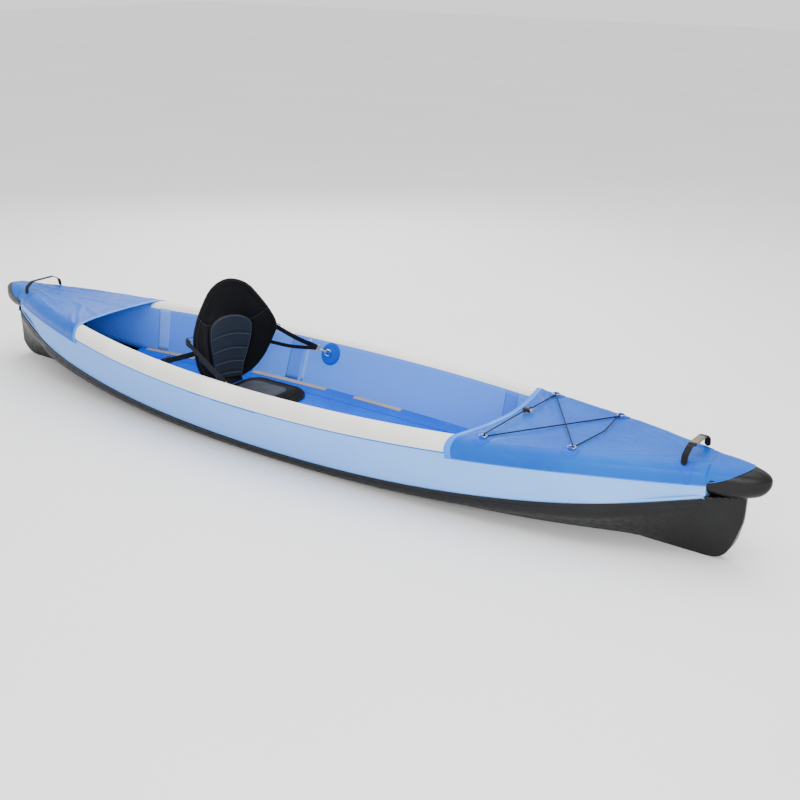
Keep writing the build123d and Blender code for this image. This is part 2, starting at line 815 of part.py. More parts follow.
def back_slice(inner, outer, outline):
    """A leaning curved sheet between two radii, cut to the outline."""
    foot = (HINGE_X - 2, 0, back_low)
    leaning = Plane(origin=foot, x_dir=(1, 0, -BACK_LEAN), z_dir=(BACK_LEAN, 0, 1))
    with BuildPart() as piece:
        with BuildSketch(leaning.offset(-BACK_HIGH / 4)):
            with Locations((BACK_BOW, 0)):
                Circle(BACK_BOW + outer)
                Circle(BACK_BOW + inner, mode=Mode.SUBTRACT)
            Rectangle(BACK_BOW * 1.5, BACK_BOW * 3, mode=Mode.INTERSECT)
        extrude(amount=BACK_HIGH * 1.5)
        with BuildSketch(Plane.YZ.offset(HINGE_X - BACK_BOW)):
            add(outline)
        extrude(amount=2 * BACK_BOW, mode=Mode.INTERSECT)
    return piece.part


def turned_back(part, name):
    """Saves a piece of the backrest, turned about the middle of its foot."""
    return save(part.rotate(Axis((HINGE_X, 0, 0), (0, 0, 1)), BACK_TURN), name)


BOARD = 4                     # stiffening board
BOARD_EDGE = 34               # from the backrest's edge to the board's
board_top = back_low + BACK_HIGH - BOARD_EDGE
padding = back_slice(0, BACK_THICK, back_outline(0, back_low, back_low + BACK_HIGH))
board_room = back_outline(BOARD_EDGE - 2, back_low, board_top + 2)
board_slot = back_slice(18 - GAP, 18 + BOARD + GAP, board_room)
with BuildPart() as backrest:
    add(padding)
    add(board_slot, mode=Mode.SUBTRACT)
turned_back(backrest.part, "backrest")

board_face = back_outline(BOARD_EDGE, back_low + 2, board_top)
turned_back(back_slice(18, 18 + BOARD, board_face), "backrest_board")

panel_face = back_outline(BACK_HALF * 0.5, back_low + 12, back_low + BACK_HIGH * 0.66)
turned_back(back_slice(-PANEL_THICK - GAP, -GAP, panel_face), "backrest_panel")


# Seat straps: a ring on each side wall, a sprung snap hook on it, and a strap to the backrest

SEAT_PATCH_THICK = 2
SEAT_PATCH_LIFT = 0.9         # a flat patch off the curved wall
HOOK_WIRE = 1.75
HOOK_LONG = 40
HOOK_HALF = 8
GATE_FROM = 9                 # gate's pivots from the ends of the hook's loop
EYE = 8
# Where the straps meet the backrest, from its pivot, before it is turned
front_reach = (56, BACK_HALF + 11, 262)
rear_reach = (-24, 90, 170)
pivot = Vector(HINGE_X, 0, HINGE_Z)
strap_ends = {}
for hand, side in (("left", 1), ("right", -1)):
    for row, x, z, reach in (
        ("front", FRONT_RING_X, FRONT_RING_Z, front_reach),
        ("rear", REAR_RING_X, REAR_RING_Z, rear_reach),
    ):
        arm = Vector(reach[0], side * reach[1], reach[2]).rotate(Axis.Z, BACK_TURN)
        strap_ends[f"{row}_{hand}"] = (x, z, side, pivot + arm)


def seat_patch(plane):
    edge = SEAT_PATCH
    low = SEAT_PATCH_LIFT
    top = low + SEAT_PATCH_THICK
    outline = [(0, low), (edge, low), (edge, top - 0.8), (edge - 2, top), (edge - 9, top)]
    outline += [(edge - 9, top + 2.5), (edge - 15, top + 2.5), (edge - 15, top), (0, top)]
    return turned(plane, outline)


def strap_frames(name):
    """The wall plane, and the ring's plane: its X points along the strap."""
    x, z, side, target = strap_ends[name]
    wall = wall_plane(x, z, side)
    bar = wall.origin + wall.z_dir * (SEAT_PATCH_LIFT + SEAT_PATCH_THICK + BAR_HIGH)
    pull = (target - bar).normalized()
    across = wall.z_dir.cross(pull).normalized()
    upright = Plane(origin=bar, x_dir=across.cross(wall.z_dir), z_dir=wall.z_dir)
    return wall, upright, Plane(origin=bar, x_dir=pull, z_dir=pull.cross(across))


hook_start = RING_DEEP - ROD / 2 - HOOK_WIRE - GAP
hook_end = hook_start + HOOK_LONG
eye_start = hook_end + HOOK_WIRE
eye_end = eye_start + EYE
gate_tip = hook_start + GATE_FROM
gate_pivot = hook_end - GATE_FROM
gate_cut = HOOK_WIRE + GAP


def along(plane, distance, lift=0):
    return plane.origin + plane.x_dir * distance + plane.z_dir * lift


def snap_hook(plane):
    upright = Plane(origin=plane.origin, x_dir=plane.x_dir, z_dir=plane.y_dir * -1)
    loop = [(hook_start, -HOOK_HALF), (hook_end, -HOOK_HALF), (hook_end, HOOK_HALF)]
    loop += [(hook_start, HOOK_HALF)]
    eye = [(eye_start, -WEBBING / 2 - 3), (eye_end, -WEBBING / 2 - 3)]
    eye += [(eye_end, WEBBING / 2 + 3), (eye_start, WEBBING / 2 + 3)]
    with BuildPart() as hook:
        for frame, corners, bend in ((upright, loop, 6), (plane, eye, 2.5)):
            with BuildLine(frame):
                outline = FilletPolyline(*corners, radius=bend, close=True)
            with BuildSketch(Plane(origin=outline @ 0, z_dir=outline % 0)):
                Circle(HOOK_WIRE)
            sweep(path=outline)
        with BuildSketch(upright):
            with Locations(((gate_tip + gate_pivot) / 2, HOOK_HALF)):
                Rectangle(gate_pivot - gate_tip + 2 * gate_cut, 3 * HOOK_WIRE)
        extrude(amount=4 * HOOK_WIRE, both=True, mode=Mode.SUBTRACT)
    return hook.part


def hook_gate(plane):
    upright = Plane(origin=plane.origin, x_dir=plane.x_dir, z_dir=plane.y_dir * -1)
    with BuildPart() as gate:
        with BuildSketch(upright):
            with Locations(((gate_tip + gate_pivot) / 2, HOOK_HALF)):
                SlotCenterToCenter(gate_pivot - gate_tip, 2 * HOOK_WIRE)
        extrude(amount=HOOK_WIRE * 0.8, both=True)
    return gate.part


def seat_strap(plane, target):
    first = eye_end + HOOK_WIRE + GAP
    last = (target - plane.origin).length
    with BuildPart() as strap:
        with BuildSketch(Plane(origin=along(plane, first), x_dir=plane.y_dir, z_dir=plane.x_dir)):
            Rectangle(WEBBING, WEB_THICK)
        extrude(amount=last - first)
    return strap.part


seat_patches = []
for name in strap_ends:
    wall, upright, pulled = strap_frames(name)
    seat_patches += [seat_patch(wall), keeper(upright, BAR_HIGH + KEEPER_ROOT)]
    save(ring(pulled), f"seat_ring_{name}")
    save(snap_hook(pulled), f"snap_hook_{name}")
    save(hook_gate(pulled), f"hook_gate_{name}")
    save(seat_strap(pulled, strap_ends[name][3]), f"seat_strap_{name}")
with BuildPart() as seat_ring_patches:
    add(seat_patches)
save(seat_ring_patches.part, "seat_ring_patches")


# Strips along the cockpit's floor


STRIP_RISE = 12               # how far a strip climbs from the floor to the wall


def edge_band(side, first, last, lift, thick, wide=None):
    """A strip over the joint between the floor and a side chamber, or only its outer part."""
    with BuildPart() as band:
        for x in stations(first, last, 9):
            up = (floor_top + STRIP_RISE - wall_point(x, -WALL / 2, 0)[1]) / cos(flare(x))
            wall_y = wall_point(x, -WALL / 2, up)[0] - 4 * GAP
            flat_y = floor_half(x) - FLOOR / 2 - 4
            share = min(1, wide / (wall_y - flat_y)) if wide else 1
            high = floor_top + GAP + lift + STRIP_RISE
            near_y = wall_y - (wall_y - flat_y) * share
            low = high - STRIP_RISE * share
            corners = [(near_y, low), (wall_y, high), (wall_y, high + thick), (near_y, low + thick)]
            with BuildSketch(Plane.YZ.offset(x)):
                Polygon(*[(side * y, z) for y, z in corners], align=None)
        loft()
    return band.part


cockpit_aft = -(HALF - STERN_DECK) - 80
cockpit_fore = HALF - BOW_DECK + 80
EDGE_THICK = 1.2
edge_strips = [edge_band(side, cockpit_aft, cockpit_fore, 0, EDGE_THICK) for side in (1, -1)]
with BuildPart() as floor_edge_strips:
    add(edge_strips)
save(floor_edge_strips.part, "floor_edge_strips")

webbing_runs = ((-1276, -967), (-589, -127), (45, 325))
webbing = []
for first, last in webbing_runs:
    for side in (1, -1):
        webbing.append(edge_band(side, first, last, EDGE_THICK + GAP, EDGE_THICK, WEBBING))
with BuildPart() as floor_webbing:
    add(webbing)
save(floor_webbing.part, "floor_webbing")
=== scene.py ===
"""Looks of the inflatable kayak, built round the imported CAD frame. Metres, bow along +X, +Z up."""
from math import atan, cos, exp, hypot, pi, radians, sin, sqrt

import bmesh
import bpy
import numpy as np
from mathutils import Matrix, Vector, noise


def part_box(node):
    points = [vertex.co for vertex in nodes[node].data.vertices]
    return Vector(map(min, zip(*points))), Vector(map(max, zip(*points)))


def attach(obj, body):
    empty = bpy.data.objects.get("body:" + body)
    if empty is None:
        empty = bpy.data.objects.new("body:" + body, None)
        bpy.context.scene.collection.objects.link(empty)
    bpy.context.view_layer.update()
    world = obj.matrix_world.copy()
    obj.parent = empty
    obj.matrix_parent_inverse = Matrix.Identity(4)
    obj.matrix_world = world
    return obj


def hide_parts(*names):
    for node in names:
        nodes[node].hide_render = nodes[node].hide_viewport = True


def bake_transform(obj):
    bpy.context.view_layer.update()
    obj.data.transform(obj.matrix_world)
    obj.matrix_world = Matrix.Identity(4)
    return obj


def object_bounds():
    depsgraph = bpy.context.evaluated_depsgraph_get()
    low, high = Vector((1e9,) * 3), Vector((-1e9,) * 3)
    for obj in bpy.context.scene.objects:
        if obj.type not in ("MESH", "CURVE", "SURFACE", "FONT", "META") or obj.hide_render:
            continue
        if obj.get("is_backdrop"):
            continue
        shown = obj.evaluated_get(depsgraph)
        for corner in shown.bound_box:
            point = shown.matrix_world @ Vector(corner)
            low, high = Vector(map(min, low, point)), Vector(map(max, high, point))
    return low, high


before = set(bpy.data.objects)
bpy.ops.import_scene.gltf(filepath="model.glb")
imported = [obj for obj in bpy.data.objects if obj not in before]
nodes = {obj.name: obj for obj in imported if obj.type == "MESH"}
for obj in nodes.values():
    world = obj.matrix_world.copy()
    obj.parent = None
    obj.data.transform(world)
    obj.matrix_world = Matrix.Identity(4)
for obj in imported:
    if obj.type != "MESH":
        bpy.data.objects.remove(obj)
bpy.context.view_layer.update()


# ---------------------------------------------------------------- hull lines, as in the CAD model

BEAM = 0.908
HALF = 2.150
WALL_TOP = 0.338
WALL_RISE = 0.079
PANEL_FOOT = 0.060
PANEL_RISE = 0.218
FLARE = 23
WALL = 0.092
FLOOR_TOP = 0.1043
FOOT_LAP = 0.026
NOSE = 0.209
CHAMBER_END = HALF - NOSE - 0.001
BOW_DECK = 1.165
STERN_DECK = 0.920
DECK_DIP = 0.060
DECK_LAP = 0.025
DECK_OUT = 0.0032              # a deck's outer face off the chambers
BUNGEE_AFT = 1.110
BUNGEE_FORE = 1.450
PATCH = 0.036
HANDLE_X = HALF - 0.295
HANDLE_SPAN = 0.224
WEBBING = 0.025
HINGE = Vector((-0.518, 0, 0.150))


def half_beam(x):
    return BEAM / 2 * (1 - abs(x / HALF) ** 2.14) ** 0.97


def wall_top(x):
    u = (x / HALF) ** 2
    return WALL_TOP + WALL_RISE * u * (1 - 0.29 * u)


def panel_foot(x):
    u = (x / HALF) ** 2
    return PANEL_FOOT + PANEL_RISE * u * (1 + 0.18 * u)


def flare(x):
    return radians(max(0, FLARE * (1 - 2.05 * (x / HALF) ** 2)))


def wall_point(x, out, up):
    """Port wall: out along its outward normal, up along the wall, from its top round's centre."""
    lean = flare(x)
    y = half_beam(x) - WALL / 2 + out * cos(lean) + up * sin(lean)
    z = wall_top(x) - WALL / 2 - out * sin(lean) + up * cos(lean)
    return y, z


def wall_foot(x):
    lean = flare(x)
    edge = wall_top(x) - WALL / 2 - WALL / 2 * sin(lean)
    return (panel_foot(x) - edge) / cos(lean) - FOOT_LAP


def on_outside(x, side, up, lift):
    """A point on the outer face of a side wall, up from its top round's centre."""
    y, z = wall_point(x, WALL / 2 + lift, up)
    return Vector((x, side * y, z))


def on_inside(x, side, z, lift):
    """A point on the inner face of a side wall at height z."""
    up = (z - wall_point(x, -WALL / 2, 0)[1]) / cos(flare(x))
    y, _ = wall_point(x, -WALL / 2 - lift, up)
    return Vector((x, side * y, z))


def stations(start, end, count):
    return [start + (end - start) * i / (count - 1) for i in range(count)]


def smooth(value, low, high):
    """0 below low, 1 above high, and an eased slope between."""
    t = min(1, max(0, (value - low) / (high - low)))
    return t * t * (3 - 2 * t)


# ---------------------------------------------------------------- mesh helpers


def piece(name, points, faces, material, body="hull"):
    """A mesh object in the frame, riding on a CAD body."""
    mesh = bpy.data.meshes.new(name)
    mesh.from_pydata([tuple(p) for p in points], [], faces)
    made = bmesh.new()
    made.from_mesh(mesh)
    bmesh.ops.remove_doubles(made, verts=made.verts, dist=1e-6)
    bmesh.ops.recalc_face_normals(made, faces=made.faces)
    made.to_mesh(mesh)
    made.free()
    mesh.shade_smooth()
    thing = bpy.data.objects.new(name, mesh)
    bpy.context.scene.collection.objects.link(thing)
    mesh.materials.append(material)
    if body:
        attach(thing, body)
    return thing


def closed_sheet(upper, lower):
    """Points and faces of a closed skin between two grids of points."""
    rows, columns = len(upper), len(upper[0])
    points = [p for row in upper for p in row] + [p for row in lower for p in row]
    half = rows * columns
    faces = []
    for i in range(rows - 1):
        for j in range(columns - 1):
            a = i * columns + j
            b, c, d = a + 1, a + columns + 1, a + columns
            faces.append((a, b, c, d))
            faces.append((half + d, half + c, half + b, half + a))
    rim = list(range(columns))
    rim += [i * columns + columns - 1 for i in range(1, rows)]
    rim += [(rows - 1) * columns + j for j in range(columns - 2, -1, -1)]
    rim += [i * columns for i in range(rows - 2, 0, -1)]
    for a, b in zip(rim, rim[1:] + rim[:1]):
        faces.append((b, a, half + a, half + b))
    return points, faces


def sheet_piece(name, surface, us, vs, thick, material, body="hull"):
    """A thin closed sheet over surface(u, v, lift)."""
    upper = [[surface(u, v, thick) for v in vs] for u in us]
    lower = [[surface(u, v, 0) for v in vs] for u in us]
    return piece(name, *closed_sheet(upper, lower), material, body)


def frames_along(path, closed, start_up):
    """Unit tangent, side and up at each point of a path, carried along without twist."""
    count = len(path)
    out = []
    up = Vector(start_up)
    for i in range(count):
        before = path[i - 1] if i or closed else path[0]
        after = path[(i + 1) % count] if i < count - 1 or closed else path[-1]
        tangent = (after - before).normalized()
        up = (up - tangent * up.dot(tangent)).normalized()
        out.append((tangent, tangent.cross(up), up))
    return out


def swept(name, path, outline, material, body="hull", closed=False, start_up=(0, 0, 1), turn=None):
    """An outline of (side, up) offsets swept along a path; turn(i) scales or twists it."""
    points, faces = [], []
    size = len(outline)
    path = [Vector(p) for p in path]
    for i, (place, (tangent, side, up)) in enumerate(zip(path, frames_along(path, closed, start_up))):
        scale, angle = turn(i) if turn else (1, 0)
        across = side * cos(angle) + up * sin(angle)
        above = up * cos(angle) - side * sin(angle)
        for s, u in outline:
            points.append(place + across * s * scale + above * u * scale)
    last = len(path) if closed else len(path) - 1
    for i in range(last):
        for j in range(size):
            a, b = i * size + j, i * size + (j + 1) % size
            c, d = ((i + 1) % len(path)) * size + (j + 1) % size, ((i + 1) % len(path)) * size + j
            faces.append((a, b, c, d))
    if not closed:
        faces.append(tuple(range(size)))
        faces.append(tuple(range((len(path) - 1) * size, len(path) * size)))
    return piece(name, points, faces, material, body)


def circle(radius, count=10):
    return [(radius * cos(2 * pi * i / count), radius * sin(2 * pi * i / count)) for i in range(count)]


def slab(width, thick):
    """A flat strap's section with rounded edges."""
    w, t = width / 2, thick / 2
    right = [(w - t * 0.9, -t), (w - t * 0.3, -t * 0.8), (w, 0), (w - t * 0.3, t * 0.8),
             (w - t * 0.9, t)]
    middle = [(w * 0.3, t), (-w * 0.3, t)]
    left = [(-a, -b) for a, b in right]
    return right + middle + left + [(-w * 0.3, -t), (w * 0.3, -t)]


def curve_through(points, count):
    """Evenly parameterised Catmull-Rom curve through the points."""
    points = [Vector(p) for p in points]
    spans = len(points) - 1
    out = []
    for k in range(count):
        t = k / (count - 1) * spans
        i = min(int(t), spans - 1)
        f = t - i
        b, c = points[i], points[i + 1]
        a = points[i - 1] if i else b * 2 - c
        d = points[i + 2] if i + 2 < len(points) else c * 2 - b
        out.append(0.5 * ((2 * b) + (c - a) * f + (2 * a - 5 * b + 4 * c - d) * f * f
                          + (3 * b - a - 3 * c + d) * f ** 3))
    return out


# ---------------------------------------------------------------- materials


def srgb(red, green, blue):
    """Linear colour of 0-255 screen values."""
    def linear(c):
        c /= 255
        return c / 12.92 if c <= 0.04045 else ((c + 0.055) / 1.055) ** 2.4
    return (linear(red), linear(green), linear(blue), 1)


class Finish:
    """A Principled material with short calls for its nodes."""

    def __init__(self, name, **sockets):
        self.material = bpy.data.materials.new(name)
        self.material.use_nodes = True
        self.tree = self.material.node_tree
        self.shader = self.tree.nodes["Principled BSDF"]
        for socket, value in sockets.items():
            self.shader.inputs[socket.replace("_", " ")].default_value = value
        self.place = self.node("ShaderNodeTexCoord").outputs["Object"]

    def node(self, kind, **settings):
        made = self.tree.nodes.new(kind)
        for key, value in settings.items():
            setattr(made, key, value)
        return made

    def put(self, socket, value):
        if isinstance(value, bpy.types.NodeSocket):
            self.tree.links.new(value, socket)
        else:
            socket.default_value = value

    def sum(self, operation, first, second=0.0):
        made = self.node("ShaderNodeMath", operation=operation)
        self.put(made.inputs[0], first)
        self.put(made.inputs[1], second)
        return made.outputs[0]

    def part(self, axis, vector=None):
        made = self.node("ShaderNodeSeparateXYZ")
        self.put(made.inputs[0], vector or self.place)
        return made.outputs[axis]

    def ramp(self, value, low, high, to_low=0.0, to_high=1.0):
        made = self.node("ShaderNodeMapRange", interpolation_type="SMOOTHSTEP")
        for socket, number in zip(made.inputs, (value, low, high, to_low, to_high)):
            self.put(socket, number)
        return made.outputs[0]

    def noise(self, scale, detail=3.0, roughness=0.55, stretch=None):
        place = self.place
        if stretch:
            mapping = self.node("ShaderNodeMapping")
            self.put(mapping.inputs["Vector"], place)
            mapping.inputs["Scale"].default_value = stretch
            place = mapping.outputs[0]
        made = self.node("ShaderNodeTexNoise")
        self.put(made.inputs["Vector"], place)
        made.inputs["Scale"].default_value = scale
        made.inputs["Detail"].default_value = detail
        made.inputs["Roughness"].default_value = roughness
        return made.outputs["Fac"]

    def threads(self, pitch, axes=("X", "Z"), turn=0.0):
        """0 to 1 where threads cross, from two sets of ribs of that pitch."""
        mapping = self.node("ShaderNodeMapping")
        self.put(mapping.inputs["Vector"], self.place)
        mapping.inputs["Rotation"].default_value = (0, turn, turn)
        bands = []
        for axis in axes:
            wave = self.node("ShaderNodeTexWave", wave_type="BANDS", bands_direction=axis)
            self.put(wave.inputs["Vector"], mapping.outputs[0])
            wave.inputs["Scale"].default_value = pi / 10 / pitch
            bands.append(wave.outputs["Fac"])
        return self.sum("MULTIPLY", *bands)

    def mix(self, share, first, second):
        made = self.node("ShaderNodeMix", data_type="RGBA")
        self.put(made.inputs[0], share)
        self.put(made.inputs[6], first)
        self.put(made.inputs[7], second)
        return made.outputs[2]

    def bump(self, height, distance, strength=1.0, onto=None):
        made = self.node("ShaderNodeBump")
        made.inputs["Strength"].default_value = strength
        made.inputs["Distance"].default_value = distance
        self.put(made.inputs["Height"], height)
        if onto:
            self.put(made.inputs["Normal"], onto)
        return made.outputs[0]

    def finish(self, colour=None, rough=None, normal=None):
        for socket, value in (("Base Color", colour), ("Roughness", rough), ("Normal", normal)):
            if value is not None:
                self.put(self.shader.inputs[socket], value)
        return self.material


def vinyl(name, base, shade, gloss=0.34, weave=0.0016, wave=0.0012, coat=0.0):
    """Coated PVC fabric: its base cloth shows as a fine weave, and the sheet isn't quite flat."""
    made = Finish(name, Coat_Weight=coat, Coat_Roughness=0.12, Specular_IOR_Level=0.12)
    cloudy = made.noise(2.3, 4.0)
    scuff = made.noise(60, 5.0, 0.65, stretch=(1, 1, 3))
    colour = made.mix(made.ramp(cloudy, 0.35, 0.68), base, shade)
    colour = made.mix(made.ramp(scuff, 0.62, 0.80, 0.0, 0.04), colour, srgb(235, 238, 242))
    height = made.bump(made.noise(5.5, 2.0), wave, 0.5)
    height = made.bump(made.threads(weave), 0.00012, 0.6, height)
    rough = made.ramp(made.noise(38, 3.0), 0.3, 0.75, gloss - 0.05, gloss + 0.12)
    return made.finish(colour, rough, height)


def chamber_vinyl():
    """Side walls: pale outside and paler to the bow with painted light; deeper blue and dotted on the
    cockpit side.
    """
    made = Finish("side_wall_vinyl", Specular_IOR_Level=0.25)
    along = made.part("X")
    normal = made.node("ShaderNodeTexCoord").outputs["Normal"]
    facing = made.sum("MULTIPLY", made.sum("SIGN", made.part("Y")), made.part("Y", normal))
    inside = made.ramp(made.sum("MULTIPLY", facing, -1.0), 0.02, 0.22)
    # painted light: the outer face grows lighter from stern to bow
    outer = made.mix(made.ramp(along, -1.6, 1.7), srgb(110, 164, 242), srgb(126, 180, 250))
    outer = made.mix(made.ramp(made.noise(1.7, 3.0, stretch=(1, 1, 2)), 0.4, 0.72, 0, 0.35), outer,
                     srgb(102, 158, 240))
    dots = made.threads(0.0085)
    inner = made.mix(made.ramp(dots, 0.25, 0.8), srgb(76, 134, 232), srgb(104, 160, 244))
    inner = made.mix(made.ramp(made.noise(3.0, 2.0), 0.42, 0.7, 0, 0.4), inner, srgb(90, 138, 224))
    colour = made.mix(inside, outer, inner)
    height = made.bump(made.noise(4.0, 2.0, stretch=(1, 1, 0.5)), 0.0016, 0.5)
    height = made.bump(made.sum("MULTIPLY", dots, inside), 0.0006, 0.55, height)
    height = made.bump(made.threads(0.0016), 0.0001, 0.5, height)
    rough = made.ramp(made.noise(30, 3.0), 0.3, 0.75, 0.30, 0.46)
    return made.finish(colour, rough, height)


def rubber(name, base, dust, rough=0.42, grain=0.0007, depth=0.00018):
    """Moulded or coated black: a fine pebbled grain, a little dust in random patches."""
    made = Finish(name, Specular_IOR_Level=0.25)
    pebble = made.node("ShaderNodeTexVoronoi", feature="SMOOTH_F1")
    made.put(pebble.inputs["Vector"], made.place)
    pebble.inputs["Scale"].default_value = 1 / grain / 6
    cells = pebble.outputs["Distance"]
    patchy = made.noise(6.0, 4.0, 0.6)
    colour = made.mix(made.ramp(patchy, 0.45, 0.8, 0.0, 0.5), base, dust)
    height = made.bump(cells, depth, 0.5)
    height = made.bump(made.noise(9.0, 2.0), 0.0008, 0.4, height)
    spread = made.ramp(made.noise(45, 3.0), 0.3, 0.8, rough - 0.06, rough + 0.12)
    return made.finish(colour, spread, height)


def cloth(name, base, light, pitch, depth=0.0004, rough=0.82, sheen=0.25, axes=("X", "Z"), turn=0.0):
    """Woven or knitted cloth with its threads as ribs."""
    made = Finish(name, Sheen_Weight=sheen, Sheen_Roughness=0.5, Specular_IOR_Level=0.15)
    weave = made.threads(pitch, axes, turn)
    fuzz = made.noise(420, 2.0)
    colour = made.mix(made.ramp(weave, 0.1, 0.9), base, light)
    colour = made.mix(made.ramp(made.noise(14, 3.0), 0.4, 0.75, 0, 0.35), colour, light)
    height = made.bump(weave, depth, 0.7)
    height = made.bump(fuzz, 0.0002, 0.4, height)
    return made.finish(colour, made.ramp(fuzz, 0.3, 0.7, rough - 0.06, rough + 0.08), height)


def metal(name, base, tarnish, rough=0.24):
    """Bright wire with faint drawing marks and a little tarnish."""
    made = Finish(name, Metallic=1.0)
    marks = made.noise(900, 2.0, stretch=(1, 0.2, 1))
    colour = made.mix(made.ramp(made.noise(70, 4.0), 0.5, 0.8, 0, 0.6), base, tarnish)
    return made.finish(colour, made.ramp(marks, 0.2, 0.8, rough - 0.06, rough + 0.14),
                       made.bump(marks, 0.00004, 0.4))


def moulded(name, base, light, rough=0.36):
    """Moulded plastic with a fine spark-eroded texture."""
    made = Finish(name, Specular_IOR_Level=0.5)
    spark = made.noise(1400, 2.0)
    colour = made.mix(made.ramp(made.noise(26, 3.0), 0.4, 0.75, 0, 0.6), base, light)
    return made.finish(colour, made.ramp(spark, 0.3, 0.7, rough - 0.06, rough + 0.08),
                       made.bump(spark, 0.00005, 0.5))


wall_vinyl = chamber_vinyl()
floor_vinyl = vinyl("floor_vinyl", srgb(0, 84, 200), srgb(0, 70, 184), 0.26, 0.004, 0.002, 0.10)
deck_vinyl = vinyl("deck_vinyl", srgb(0, 92, 188), srgb(0, 78, 176), 0.32, 0.0014, 0.0010)
hem_vinyl = vinyl("hem_vinyl", srgb(62, 144, 238), srgb(36, 120, 226), 0.30)
patch_vinyl = vinyl("patch_vinyl", srgb(0, 84, 196), srgb(0, 72, 184), 0.28, 0.0014, 0.0005)
seam_vinyl = vinyl("seam_vinyl", srgb(30, 114, 220), srgb(18, 100, 208), 0.34)
# deep blue for seam segments and for painted shade on the inner walls; pale blue for painted light there
deep_seam_and_painted_shade = vinyl("deep_seam_and_painted_shade_vinyl", srgb(72, 124, 220), srgb(62, 114, 214), 0.34, 0.003)
painted_light_blue = vinyl("painted_light_vinyl", srgb(124, 164, 236), srgb(112, 154, 232), 0.34, 0.003)
white_vinyl = vinyl("white_vinyl", srgb(236, 235, 230), srgb(222, 221, 216), 0.36, 0.0016, 0.0008)
black_vinyl = rubber("black_vinyl", srgb(14, 14, 15), srgb(26, 27, 29), 0.44, 0.0012)
black_bead = rubber("black_bead", srgb(18, 18, 20), srgb(32, 33, 36), 0.40)
nose_rubber = rubber("nose_rubber", srgb(9, 9, 10), srgb(19, 20, 22), 0.38, 0.0009)
grip_rubber = rubber("grip_rubber", srgb(122, 114, 96), srgb(48, 44, 38), 0.55, 0.0016, 0.0006)
black_web = cloth("black_webbing", srgb(8, 8, 9), srgb(24, 24, 27), 0.0021, 0.0004, 0.70, 0.08)
tan_web = cloth("tan_webbing", srgb(128, 120, 112), srgb(156, 148, 140), 0.0024, 0.0005, 0.7)
seat_mesh = cloth("seat_mesh", srgb(4, 4, 5), srgb(16, 16, 18), 0.0042, 0.0008, 0.88, 0.04, ("Y", "Z"))
base_mesh = cloth("base_mesh", srgb(4, 4, 5), srgb(16, 16, 18), 0.0042, 0.0008, 0.88, 0.04, ("X", "Y"))
seat_cloth = cloth("seat_cloth", srgb(8, 8, 9), srgb(18, 18, 20), 0.0014, 0.0003, 0.80, 0.05)
piping_cloth = cloth("piping_cloth", srgb(6, 6, 7), srgb(16, 16, 18), 0.0016, 0.0003, 0.66, 0.05)
channel_foam = cloth("channel_foam", srgb(26, 33, 41), srgb(38, 46, 56), 0.0013, 0.0002, 0.74, 0.08)
# pale grey for a painted highlight along the backrest's embossed lips
painted_highlight_trim = cloth("painted_highlight_trim", srgb(58, 66, 74), srgb(84, 92, 101), 0.0011, 0.0002, 0.66, 0.05)
pad_grey = cloth("pad_grey", srgb(34, 39, 47), srgb(52, 58, 67), 0.0032, 0.0005, 0.75, 0.1)
bungee_cloth = cloth("bungee_cloth", srgb(5, 5, 6), srgb(18, 18, 20), 0.0013, 0.0004, 0.7, 0.05,
                     ("X", "Y"), 0.8)
thread = cloth("black_thread", srgb(26, 26, 29), srgb(48, 49, 53), 0.0006, 0.0001, 0.6)
steel = metal("steel_wire", srgb(196, 198, 202), srgb(140, 142, 148))
brass = metal("brass", srgb(206, 172, 104), srgb(150, 118, 66))
lock_black = moulded("lock_plastic_black", srgb(20, 20, 22), srgb(38, 38, 41))
lock_grey = moulded("lock_plastic_grey", srgb(150, 152, 154), srgb(182, 184, 186))
valve_plastic = moulded("valve_plastic", srgb(60, 66, 74), srgb(84, 90, 99))
buckle_plastic = moulded("buckle_plastic", srgb(18, 18, 20), srgb(40, 40, 43), 0.3)


def dress(material, *names):
    """Gives CAD nodes a finish."""
    for name in names:
        for slot in nodes[name].material_slots:
            slot.material = material
        if not nodes[name].material_slots:
            nodes[name].data.materials.append(material)


dress(wall_vinyl, "side_chamber_left", "side_chamber_right")
dress(floor_vinyl, "floor_chamber")
dress(black_vinyl, "bottom_sheet", "bow_stem", "stern_stem")
dress(nose_rubber, "bow_nose_cap", "stern_nose_cap")
dress(white_vinyl, "gunwale_tapes")
dress(patch_vinyl, "deck_patches", "seat_ring_patches")
dress(floor_vinyl, "floor_edge_strips")
dress(tan_web, "floor_webbing")
dress(bungee_cloth, "bungee_cord")
dress(lock_black, "cord_lock_body")
dress(lock_grey, "cord_lock_button")
dress(steel, "cord_lock_spring")
dress(black_web, "bow_handle_strap", "stern_handle_strap")
dress(valve_plastic, "valve_nuts")
for name in ("left", "right", "floor"):
    dress(valve_plastic, f"valve_body_{name}", f"valve_cap_{name}")
    dress(lock_black, f"valve_plunger_{name}")
    dress(steel, f"valve_spring_{name}")
for place in ("aft_left", "aft_right", "fore_left", "fore_right"):
    dress(steel, f"bow_ring_{place}")
for place in ("front_left", "front_right", "rear_left", "rear_right"):
    dress(steel, f"seat_ring_{place}")
    dress(brass, f"snap_hook_{place}", f"hook_gate_{place}")
dress(pad_grey, "seat_base_pad")
dress(seat_cloth, "backrest_board")


# ---------------------------------------------------------------- decks


def deck_point(x, v, lift):
    """v runs from 0 in the middle to 1 at the chamber's crown, 2 at its side and 3 at the deck's hem."""
    side, v = (1 if v >= 0 else -1), abs(v)
    radius = WALL / 2 + lift
    lean = flare(x)
    y, z = wall_point(x, 0, 0)
    if v > 2:
        y, z = wall_point(x, radius, -DECK_LAP * (v - 2))
    elif v > 1:
        angle = (pi / 2 + lean) * (2 - v) - lean
        y, z = y + radius * cos(angle), z + radius * sin(angle)
    else:
        y, z = y * v, z + radius
    return Vector((x, side * y, z))


